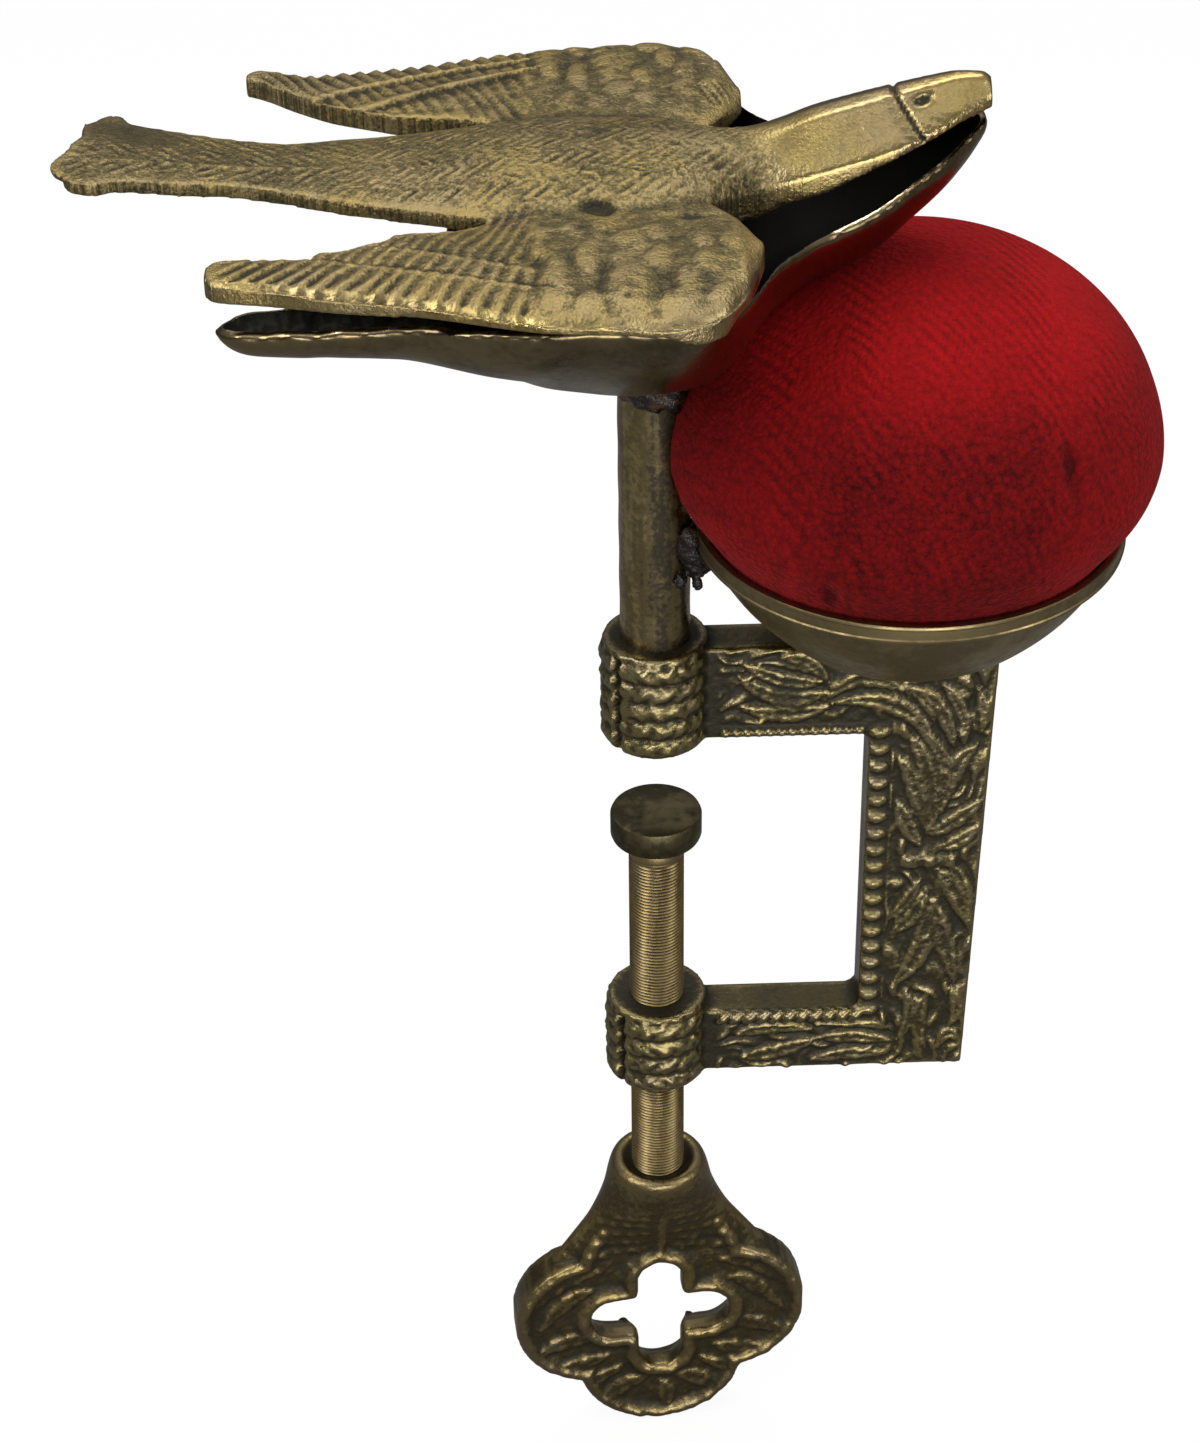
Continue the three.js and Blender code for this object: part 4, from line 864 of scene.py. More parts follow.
def wing_relief(x, y):
    """Rise of the feathers and fall of the rim, with the wing's places and the share of its coverts."""
    s, v, aside, outer, inner = wing_places(x, y)
    far = y > 0
    first = HALF_SPAN * (0.589 + (s - 0.199) * 0.555)
    second = HALF_SPAN * (0.51 + (s - 0.32) * 0.73)
    slope = np.interp(s, [0, 0.25, 0.5, 0.62], [0.95, 0.62, 0.42, 0.3])
    place = s * WING_LENGTH - slope * (outer - aside)
    wander = waves(x, y, 9.0, 2) * 0.22
    quill = (place + wander) / 2.02 + 0.35
    near = np.clip((aside - first) / np.maximum(outer - first, 0.5), 0, 1)
    depth = 0.16 + 0.3 * near ** 0.8
    deepest = bump(quill % 1 - 0.34, 0.2) * smooth(0.3, 0.8, near) * smooth(1.02, 0.86, near)
    row_a = (feather(quill) - 0.6) * depth - 0.2 * deepest
    uneven = 1 + 0.35 * waves(x, y, 2.4, 13)
    in_b = np.clip((first - aside) / np.maximum(first - second, 0.5), 0, 1)
    band_b = smooth(0.62, 0.85, in_b) * far
    row_b = (feather(quill * 1.06 + 0.4) - 0.6) * 0.24 * uneven * (1 - band_b)
    row_b = row_b - 0.3 + 0.16 * in_b - 0.14 * bump(in_b - 0.12, 0.14) + 0.2 * band_b
    in_c = np.clip((second - aside) / np.maximum(second - inner, 0.5), 0, 1)
    row_c = (feather(quill * 1.12 + 0.1) - 0.6) * 0.18 * uneven - 0.4
    row_c = row_c + 0.16 * in_c - 0.12 * bump(in_c - 0.12, 0.14)
    row_c = row_c + 0.3 * smooth(0.62, 0.95, in_c) * far
    seams = 0.1 * (bump(aside - first - 0.3, 0.4) + bump(aside - second - 0.3, 0.4) * (s > 0.3))
    rows = np.where(aside > first, row_a, np.where(aside > second, row_b, row_c)) + seams
    quills = rows * smooth(0.005, 0.06, s)
    lumps = 0.0 * x
    for cx, cy, rx, ry, rise in COVERTS:
        bend = 0.5 * ((aside - cy) / ry) ** 2
        along = (x - cx - bend) / (rx * 1.25)
        d = along ** 2 + ((aside - cy) / (ry * 1.15)) ** 2
        lumps = np.maximum(lumps, rise * 1.05 * np.clip(1 - d, 0, 1) ** 0.8 * (1 - 0.3 * along))
    for cx, cy, rx, ry, deep in HOLLOWS:
        lumps = lumps - deep * np.exp(-(((x - cx) / rx) ** 2) - ((aside - cy) / ry) ** 2)
    lumps = lumps + waves(x, y, 2.6, 5) * 0.035 - 0.05
    cuts = np.sin(FULL_TURN * (x * 0.8 + aside * 0.55))
    shoulder = np.exp(-(((x - 8.0) / 1.5) ** 2) - ((aside - 29.6) / 1.3) ** 2)
    furrows = np.sin(FULL_TURN * (x * 0.9 + y * 0.35) / 0.9)
    far_shoulder = np.exp(-(((x - 7.8) / 1.8) ** 2) - ((aside - 17.5) / 2.6) ** 2) * far
    lumps = lumps - 0.22 * smooth(0.2, 0.9, cuts) * smooth(0.25, 0.6, shoulder) * (1 - far)
    lumps = lumps - 0.25 * smooth(0.1, 0.8, furrows) * smooth(0.2, 0.6, far_shoulder)
    share = smooth(0.54, 0.62, s + 0.02 * waves(x, y, 5.0, 7))
    mixed = quills * (1 - share) + lumps * share
    scallop = 0.2 * np.cos(FULL_TURN * (quill - 0.02)) * (1 - share)
    uneven_edge = scallop + 0.16 * waves(x, y, 3.0, 23)
    edge = outer - 0.75 + uneven_edge
    fall = 0.85 * smooth(0.04, 0.2, s) * (1 - smooth(0.93, 0.97, s)) + 0.15
    bevel = fall * smooth(outer - 1.05 + uneven_edge, outer + 0.15, aside)
    inland = smooth(-0.02, 0.05, v) * smooth(edge + 0.2, edge - 0.45, aside) * (1 - smooth(0.955, 0.985, s))
    inside = (s > 0) & (s < 1) & (v > -0.05)
    return np.where(inside, mixed * inland - bevel, 0), s, aside, outer, inside, share


def back_relief(x, y):
    """Barbs of the back and the tail, in rows either side of their quills, worn and uneven."""
    warp = waves(x, y, 9.0, 11) * 0.5 + waves(x, y, 2.6, 12) * 0.22
    worn = np.clip(0.6 + 0.5 * waves(x, y, 4.0, 14), 0.1, 1.3)
    tail = smooth(-28, -36, x)
    quill = np.interp(x, [-62, -28], [-3.2, -0.6])
    tail_v = np.abs(y - quill)
    phase = (x + 1.25 * tail_v + warp * 0.6) / 2.0
    barbs = (np.abs((phase % 1) - 0.5) * 2 - 0.5) * 0.2
    rib = bump(tail_v, 0.35) * 0.1
    column = 5.0
    shift = (y + 2.5 + warp) / column
    v = np.abs(shift - np.round(shift)) * column
    phase = (x + 1.1 * v + warp + np.round(shift) * 0.9) / 1.75
    small = (np.abs((phase % 1) - 0.5) * 2 - 0.5) * 0.24
    stipple = waves(x, y, 0.9, 16, 16) * 0.025 + waves(x, y, 0.65, 18, 16) * 0.02
    return (barbs * worn + rib) * tail + small * worn * (1 - tail) + stipple


def collar_place(z):
    """Place of the collar along X, which leans forward as it goes down the cheek."""
    return 24.9 + (84.6 - z) / 5.6 * 4.3


def head_cuts(p):
    """Collar line with its short cross cuts, the eye and the file cuts of the cheek."""
    x, _, z = p.T
    reach = (x - collar_place(z)) * 0.8
    on_side = (z > 76) & (x > 20)
    cut = -0.42 * bump(reach, 0.24)
    ticks = -0.12 * bump(((z * 1.25) % 1) - 0.5, 0.16) * smooth(-1.7, -1.2, reach) * smooth(0.1, -0.1, reach)
    eye = ((x - 28.75) / 0.95) ** 2 + ((z - 82.95 - 0.25 * (x - 28.75)) / 0.42) ** 2
    cut = cut + ticks - 0.5 * np.exp(-eye)
    cheek = 0.0 * x
    for start in (29.2, 29.9, 30.6, 31.3):
        line = x - start - (z - 80.2) * 0.45
        cheek = cheek - 0.17 * bump(line, 0.13) * smooth(78.9, 79.4, z) * smooth(81.9, 81.4, z)
    return np.where(on_side, cut + cheek, 0)


def add_bird_fittings(form):
    """Lugs, spigot and spring seat under the hollow back."""
    for y0 in (LUG_INSET, -LUG_INSET - LUG):
        form.eye_plate(y0, y0 + LUG, EYE, LUG_HALF, HINGE_Z - LUG_HALF, 75.4)
    share = (SPRING_X + TAIL_REACH) / BIRD_LENGTH
    crown = float(back_height(np.array(share), np.array(0.0)))
    ceiling = crown - WALL - 0.45
    for low, radius, sides in ((ceiling - 2, SPIGOT, 24), (ceiling, SPRING_RADIUS, 32)):
        form.turned([(0, low), (radius, low), (radius, crown - 1), (0, crown - 1)], sides, (SPRING_X, 0))


def carve_bird():
    """The bird casting in one skin: feathered from above, filed at its rims and rubbed along its neck."""
    form = Form()
    add_body(form)
    add_wing(form, 1)
    add_wing(form, -1)
    add_bird_fittings(form)
    skin = Skin(form.melted("bird", BIRD_GRAIN))
    x, y, z = skin.points.T
    top = smooth(0.25, 0.6, skin.normals[:, 2])
    relief, s, aside, outer, inside, covert = wing_relief(x, y)
    share = (x + TAIL_REACH) / BIRD_LENGTH
    half = BODY_HALF_WIDTH * body_width(share)
    on_body = smooth(1.0, 0.72, np.abs(y) / np.maximum(half, 0.5))
    on_body = np.where(x > SHOULDER, 1, on_body)
    high = smooth(WING_UNDER + 0.9, WING_UNDER + 1.6, z) + (x > SHOULDER + 2)
    seam = np.where(inside, smooth(0.45, 0.0, np.abs(np.abs(y) / np.maximum(half, 1) - 1)), 0) * top
    skin.points = skin.evened(skin.points, 8, seam * 0.5)
    skin.read_normals()
    skin.points = skin.evened(skin.points, 2, 0.35)
    skin.read_normals()
    x, y, z = skin.points.T
    plumage = back_relief(x, y) * (1 - smooth(6, 13, x)) * smooth(-63.5, -62, x)
    far_lobe = smooth(-50, -54, x) * smooth(0.5, 2.0, y)
    plumage = plumage * (1 - far_lobe)
    height = (relief * (1 - on_body) + plumage * on_body) * top * np.clip(high, 0, 1)
    pits = 0.0 * x
    for cx, cy, rx, ry, depth in PITS:
        pits = pits - depth * np.exp(-((x - cx) / rx) ** 2 - ((y - cy) / ry) ** 2)
    height = height + pits * top
    skin.raise_by(height, (0, 0, 1))
    cuts = head_cuts(skin.points) * smooth(-0.35, 0.0, skin.normals[:, 2])
    skin.raise_by(cuts)
    x, y, z = skin.points.T
    # Darker in hollows: patina in the fine ones, painted shade in the broad recesses.
    near = skin.hollows(4)
    broad = skin.hollows(30)
    # Painted shade: faces turned downward are made darker.
    underside = smooth(0.1, -0.5, skin.normals[:, 2])
    soft = covert * inside * (1 - on_body)
    hollow = 0.36 + near * (3.1 - 1.9 * soft) + broad * (1.1 + 0.9 * soft) + waves(x, y, 12, 21) * 0.06
    neck = smooth(9, 15, x) * (1 - smooth(0.75, 1.05, np.abs(y) / 9))
    # The near wing's bevel is polished and paler: wear along the rim, with a painted highlight along its
    # crest.
    bevel = np.where(inside, smooth(outer - 1.2, outer - 0.5, aside), 0) * (1 - on_body)
    bevel = bevel * np.clip(0.8 + 0.4 * waves(x, y, 6.0, 27), 0, 1) * (y < 0)
    polish = np.clip(neck + bevel + far_lobe * 0.7, 0, 1)
    hollow = np.clip(hollow * (1 - 0.6 * polish) + underside * 0.35 - pits * 1.2, 0, 1)
    hollow = hollow + 0.13 * smooth(-30, -38, x) * (1 - inside)
    # Painted shade: the near wing's front face is kept off the palest tone.
    near_face_shade = smooth(0.5, 0.85, -skin.normals[:, 1]) * (inside & (y < 0) & (aside > outer - 2))
    hollow = np.maximum(hollow, near_face_shade * (0.1 + 0.1 * waves(x, z, 5.0, 28)))
    # Painted shade: the cuts and the eye are darkened and left unpolished.
    cut_shade = smooth(0.12, 0.3, -cuts)
    hollow = np.maximum(hollow, cut_shade)
    polish = polish * (1 - cut_shade)
    skin.store("filed", np.where(inside & (y < 0) & (aside > outer - 2) & (s > 0.02), 0, 1))
    skin.store("hollow", hollow)
    skin.store("polish", polish * (1 - underside))
    finish = aged_brass(
        "plumage_brass", (0.4, 0.3, 0.115), (0.172, 0.138, 0.062), (0.05, 0.041, 0.023), rough=0.46,
        grain=0.35, stipple=0.2, lines=0.6, mottle=0.95,
    )
    return skin.show("bird_plumage", "bird", finish, ("bird_casting",))


# Belly shell: the bowl that narrows into the lower beak, and a dish under each wing

SHELL_REAR = 22.5
SHELL_LENGTH = SHELL_REAR + BEAK_REACH
SHELL_EDGE = 0.5
SHELL_HALF_WIDTH = 33.6
SHELL_DEPTH = 20.4
SHELL_CLEARANCE = 0.3  # between its rim and the wings
SHELL_WALL = 0.9
BEAK_LIFT = 8.1
DISH_SLOPE = math.tan(math.radians(5.3))  # by which the rim falls behind the hinge
DISH_START = (-46.6, -27.5)  # of the near and of the far dish
DISH_ROUND = 3.4
DISH_DEPTH = 12.6
shell_width = through([
    (0, 0.89), (0.077, 0.925), (0.18, 0.96), (0.3, 0.98), (0.385, 1), (0.42, 0.99), (0.47, 0.95),
    (0.53, 0.83), (0.564, 0.7), (0.59, 0.595), (0.632, 0.5), (0.684, 0.4), (0.77, 0.3), (0.855, 0.21),
    (0.915, 0.14), (0.966, 0.09), (1, 0.045),
])
shell_depth = through([
    (0, 0.36), (0.045, 0.585), (0.095, 0.76), (0.19, 0.93), (0.31, 1), (0.45, 0.95), (0.505, 0.86),
    (0.56, 0.68), (0.6, 0.6), (0.675, 0.475), (0.77, 0.435), (0.865, 0.33), (0.96, 0.21), (1, 0.1),
])
shell_lift = through([(0, 0), (0.68, 0), (0.77, 0.09), (0.855, 0.345), (0.915, 0.555), (0.966, 0.83), (1, 1)])


def rim_level(x):
    """Height of the shell's rim: level under the wings, lower towards their tips, higher at the beak."""
    share = (x + SHELL_REAR) / SHELL_LENGTH
    level = WING_UNDER - SHELL_CLEARANCE + BEAK_LIFT * shell_lift(share)
    return level - DISH_SLOPE * np.maximum(0, HINGE_X - x)


def add_bowl(form, wall, lid):
    """The belly and the lower beak, drawn in by a wall and with a lid that rises above the rim."""
    s = 1 - (1 - np.linspace(0, 1, 110)[:, None]) ** 1.15
    t = np.sin(np.linspace(-QUARTER_TURN, QUARTER_TURN, 61))[None, :]
    x = -SHELL_REAR + wall + (SHELL_LENGTH - 2 * wall) * s
    share = (x + SHELL_REAR) / SHELL_LENGTH
    half = np.maximum(SHELL_HALF_WIDTH * shell_width(share) - wall, SHELL_EDGE)
    depth = np.maximum(SHELL_DEPTH * shell_depth(share) - SHELL_EDGE - wall, SHELL_EDGE)
    rim = rim_level(x)
    top = np.stack(np.broadcast_arrays(x, half * t, rim + lid), -1)
    under = np.stack(np.broadcast_arrays(x, half * t, rim - SHELL_EDGE - depth * (1 - t * t) ** 0.76), -1)
    form.pair(top, under)


def add_dish(form, side, wall, lid):
    """The hollow lower wing, with a round tip, that runs into the bowl."""
    begin = DISH_START[side > 0]
    start, end = begin + wall, -SHELL_REAR + 13
    x = start + (end - start) * np.linspace(0, 1, 90)[:, None] ** 1.3
    t = 0.5 + 0.5 * np.sin(np.linspace(-QUARTER_TURN, QUARTER_TURN, 33))[None, :]
    share = (x + WING_TIP) / WING_LENGTH
    tip = 1 - smooth(-40, -24, x)
    drawn = TIP_DRAW * (1 - smooth(0, 0.3, share)) if side < 0 else 0
    front = HALF_SPAN * wing_outer(share) - 1.3 + 1.2 * tip - drawn * 0.6 - wall
    rear = np.minimum(HALF_SPAN * wing_inner(share) + 0.65 - 1.4 * tip + wall, front - SHELL_EDGE)
    near = np.clip((x - start + 0.04) / DISH_ROUND, 0, 1)
    rounded = np.sqrt(near * (2 - near))
    middle, reach = (front + rear) / 2, (front - rear) / 2
    outer = middle + reach * rounded
    inner = np.minimum(middle - reach * rounded, outer - 0.1)
    run = (x + WING_TIP) / (end + WING_TIP)
    lead = np.clip((x - begin + 0.6) / 6, 0, 1)
    full = DISH_DEPTH * (0.3 + 0.7 * run * run) * (1 - 0.3 * smooth(0.88, 1, run))
    depth = full * (0.45 + 0.55 * lead * (2 - lead)) * (0.35 + 0.65 * rounded)
    depth = np.maximum(depth - SHELL_EDGE - wall, SHELL_EDGE)
    rim = rim_level(x)
    y = inner + (outer - inner) * t if side > 0 else -outer + (outer - inner) * t
    top = np.stack(np.broadcast_arrays(x, y, rim + lid), -1)
    under = np.stack(np.broadcast_arrays(x, y, rim - SHELL_EDGE - depth * (4 * t * (1 - t)) ** 0.7), -1)
    form.pair(top, under)


def shell_body(name, wall, lid, grain):
    """The shell's outer form, or the room inside it, with its joins melted smooth."""
    form = Form()
    add_bowl(form, wall, lid)
    add_dish(form, 1, wall, lid)
    add_dish(form, -1, wall, lid)
    skin = Skin(form.melted(name, grain))
    x, y, z = skin.points.T
    under = smooth(rim_level(x) + 0.4, rim_level(x) - 1.0, z)
    for _ in range(3):
        skin.points = skin.evened(skin.points, 4, 0.15 + 0.45 * under)
    x, y, z = skin.points.T
    lip = smooth(1.2, 0.3, rim_level(x) - z)
    uneven = waves(x, y, 7.0, 61) * 0.06 + waves(x, y, 2.2, 62) * 0.015
    skin.points[:, 2] += lip * uneven * smooth(16, 2, x) * (lid == 0)
    skin.read_normals()
    holder = bpy.data.objects.new(name, skin.mesh)
    bpy.context.collection.objects.link(holder)
    return holder


def shell_fittings():
    """Lugs for the hinge pin and a spigot for the spring, as one form that fills part of the room."""
    form = Form()
    inside = LUG_INSET + LUG + LUG_GAP
    for y0 in (inside, -inside - LUG):
        form.eye_plate(y0, y0 + LUG, EYE, LUG_HALF, BELLY_BOTTOM, HINGE_Z + LUG_HALF)
    share = (SPRING_X + SHELL_REAR) / SHELL_LENGTH
    floor = float(rim_level(np.array(SPRING_X)) - SHELL_DEPTH * shell_depth(share)) + 2.4
    form.turned([
        (0, floor - 3.5), (SPRING_RADIUS, floor - 3.5), (SPRING_RADIUS, floor),
        (SPIGOT, floor), (SPIGOT, floor + 2), (0, floor + 2),
    ], 32, (SPRING_X, 0))
    holder = bpy.data.objects.new("shell_fittings", form.mesh("shell_fittings"))
    bpy.context.collection.objects.link(holder)
    return holder


def cut_away(body, tool):
    """Take the tool's room out of the body, and the tool itself away."""
    cut = body.modifiers.new("cut", "BOOLEAN")
    cut.operation, cut.solver, cut.object = "DIFFERENCE", "EXACT", tool
    mesh = baked(body)
    body.modifiers.clear()
    body.data = mesh
    bpy.data.objects.remove(tool)


def shape_shell():
    """The shell: its outer form less its room, with the rim marked for its pale colour and the lining marked
    for its painted shade.
    """
    outer = shell_body("shell_outer", 0, 0, SHELL_GRAIN)
    room = shell_body("shell_room", SHELL_WALL, 1.5, ROOM_GRAIN)
    cut_away(room, shell_fittings())
    corners, sheets = room.data.vertices, room.data.polygons
    within = BVHTree.FromPolygons([tuple(v.co) for v in corners], [tuple(p.vertices) for p in sheets])
    cut_away(outer, room)
    skin = Skin(outer.data)
    bpy.data.objects.remove(outer)
    x, _, z = skin.points.T
    drop = rim_level(x) - z
    touch = 0.06
    lining = np.array([within.find_nearest(Vector(p), touch)[0] is not None for p in skin.points.tolist()])
    rim = (drop < 0.12) & (skin.normals[:, 2] > 0.2)
    # Painted shade: the lining is marked to be nearly black; the rim is marked for a pale colour.
    skin.store("hollow", np.where(rim, 0.0, np.where(lining, 1.0, 0.3)))
    # Painted shade in the lining eases to grey towards the dish tips.
    skin.store("ash", smooth(-12, -32, x))
    finish = shell_brass()
    return skin.show("belly_bowl", "frame", finish, ("belly_shell",), angle=48)


def shell_brass():
    """Dull polished brass outside; inside, painted shade that is nearly black and pales to grey towards the
    dish tips; a bright rim.
    """
    finish = material("shell_brass")
    inside = finish.stored("hollow")
    cloud = finish.speckle(8.0, detail=5, seed=2.0)
    spots = finish.speckle(1.0, detail=4, seed=6.0)
    marks = finish.speckle(0.35, detail=2, stretch=(6, 1, 1), seed=1.7)
    stain = finish.between(cloud + (spots - 0.5) * 0.5, 0.35, 0.75)
    outer = finish.blend(stain, (0.26, 0.2, 0.105), (0.12, 0.092, 0.05))
    # Painted shade: the lining is nearly black, paling to grey towards the dish tips.
    black = finish.between(inside, 0.45, 0.9)
    # Painted highlight with wear: the rim is given a pale gold tone.
    bright = finish.between(inside, 0.2, 0.02) * finish.between(cloud + (spots - 0.5) * 0.25, 0.3, 0.5)
    ash = finish.blend(finish.between(spots, 0.4, 0.66), (0.035, 0.033, 0.026), (0.09, 0.085, 0.068))
    inner = finish.blend(finish.stored("ash"), (0.008, 0.0075, 0.006), ash)
    tone = finish.blend(black, finish.blend(bright, outer, (0.8, 0.68, 0.42)), inner)
    finish.surface(
        Base_Color=tone, Metallic=(1 - black).held(), Specular_IOR_Level=0.12,
        Roughness=(0.2 + stain * 0.08 + black * 0.6 + (spots - 0.5) * 0.08).held(),
        Normal=finish.dents(marks + spots * 0.8, 0.02),
    )
    return finish.owner


# C-frame: leaves, beads and ribs raised on its front

# Leaves of the frame: root, middle and tip in X and Z, and half width, in millimetres
LEAVES = [
    ((32.6, -16.3), (30.9, -13.0), (29.6, -9.6), 1.0), ((33.6, -14.4), (32.2, -8.5), (29.6, -3.0), 1.15),
    ((34.1, -13.4), (33.2, -5.6), (30.9, 0.2), 1.2), ((34.8, -9.0), (35.0, -3.6), (31.9, 1.0), 0.9),
    ((34.9, -11.2), (36.2, -5.4), (39.0, -1.4), 1.2), ((34.1, -14.7), (37.0, -12.6), (40.0, -9.8), 1.0),
    ((35.3, -16.9), (37.6, -15.8), (39.9, -13.6), 0.9), ((35.0, -20.3), (37.6, -24.4), (39.5, -29.8), 1.1),
    ((36.6, -19.6), (38.3, -22.6), (39.6, -26.6), 0.8), ((33.7, -23.6), (32.2, -27.4), (29.6, -30.3), 1.1),
    ((34.6, -25.3), (36.4, -31.6), (38.0, -38.6), 1.15), ((34.0, -26.6), (33.2, -33.6), (30.0, -38.8), 1.2),
    ((32.8, -22.1), (31.2, -25.4), (29.3, -27.8), 0.8), ((33.4, -0.2), (28.6, 4.9), (21.2, 5.4), 1.1),
    ((29.4, 7.1), (24.6, 8.8), (20.4, 6.0), 1.0), ((20.2, 7.0), (15.0, 6.4), (9.8, 9.6), 1.1),
    ((19.7, 8.6), (15.0, 9.0), (10.2, 11.6), 0.9), ((20.4, 4.9), (15.2, 4.0), (10.0, 5.2), 1.0),
    ((15.0, 12.2), (18.2, 11.4), (20.6, 8.6), 0.9), ((30.2, 7.4), (32.4, 5.4), (33.6, 2.2), 0.8),
    ((32.2, 7.0), (34.8, 3.2), (36.2, -1.6), 0.9), ((34.6, 7.6), (36.8, 4.0), (37.6, -0.2), 0.8),
    ((10.2, -46.4), (14.8, -45.4), (19.8, -45.9), 0.9), ((11.0, -50.2), (15.6, -49.4), (20.6, -47.4), 1.0),
    ((20.6, -45.1), (25.6, -44.9), (30.4, -46.3), 0.7), ((20.6, -47.4), (25.4, -47.4), (30.4, -48.2), 0.8),
    ((19.9, -51.0), (24.8, -50.2), (29.6, -50.4), 0.8), ((34.5, -40.6), (33.6, -45.0), (34.6, -49.4), 0.9),
    ((31.9, -40.0), (32.4, -44.2), (31.0, -48.0), 0.7), ((37.5, -39.6), (38.6, -43.0), (37.6, -46.0), 0.7),
    ((36.4, -49.4), (37.6, -47.2), (38.9, -48.6), 0.8), ((22.4, 11.2), (27.0, 12.4), (32.0, 11.8), 0.8),
    ((33.6, 12.0), (37.2, 11.4), (39.6, 8.4), 0.8), ((38.8, 6.8), (39.6, 3.6), (39.4, 0.6), 0.6),
]


def leaf_height(x, z, leaf, steps=26):
    """Rise of one split leaf: two ribs either side of a groove."""
    (x0, z0), (x1, z1), (x2, z2), wide = leaf
    best = np.full(x.shape, 9.0)
    along = np.zeros(x.shape)
    for t in np.linspace(0, 1, steps):
        cx = (1 - t) ** 2 * x0 + 2 * t * (1 - t) * (2 * x1 - (x0 + x2) / 2) + t * t * x2
        cz = (1 - t) ** 2 * z0 + 2 * t * (1 - t) * (2 * z1 - (z0 + z2) / 2) + t * t * z2
        d = np.hypot(x - cx, z - cz)
        nearer = d < best
        best = np.where(nearer, d, best)
        along = np.where(nearer, t, along)
    width = 1.5 * wide * np.sin(math.pi * np.clip(along, 0.03, 0.985)) ** 0.55 * (1 - 0.25 * along)
    u = best / np.maximum(width, 0.2)
    ribs = 0.6 * np.clip(1 - u * u * 0.85, 0, 1) ** 0.5 - 0.22 * np.exp(-(u / 0.35) ** 2)
    return np.where(u < 1.08, ribs, 0)


def frame_outline():
    """The C seen from the front, with its two inner corners rounded."""
    top = ARM_LIFT + UPPER_ARM_HEIGHT
    foot = LOWER_BOSS_TOP - LOWER_BOSS_HEIGHT + ARM_DROP
    inner_foot = foot + LOWER_ARM_HEIGHT
    corner, rounding, steps = [], 1.2, 5
    cx = THROAT_DEPTH - rounding
    for cz, start in ((inner_foot + rounding, -90), (ARM_LIFT - rounding, 0)):
        for k in range(steps + 1):
            angle = math.radians(start + 90 * k / steps)
            corner.append((cx + rounding * math.cos(angle), cz + rounding * math.sin(angle)))
    return [
        (0, top), (THROAT_DEPTH + SPINE_TOP_WIDTH, top), (THROAT_DEPTH + SPINE_FOOT_WIDTH, foot), (0, foot),
        (0, inner_foot), *corner, (0, ARM_LIFT),
    ][::-1]


def add_boss(form, top, height, ribs):
    """A boss with ribs round it, like bound cord."""
    foot, rim, steps = top - height, 0.9, 8
    profile = [(0, foot), (BOSS_RADIUS - 0.2, foot), (BOSS_RADIUS, foot + 0.3)]
    for i in range(ribs):
        for k in range(steps + 1):
            swell = 0.5 * abs(math.sin(math.pi * k / steps)) ** 0.7
            share = (i + k / steps) / ribs
            profile.append((BOSS_RADIUS + swell, foot + 0.3 + (height - rim - 0.3) * share))
    profile += [(BOSS_RADIUS + 0.1, top - 0.7), (BOSS_RADIUS, top - 0.15)]
    profile += [(BOSS_RADIUS - 0.25, top), (0, top)]
    form.turned(profile, 64)


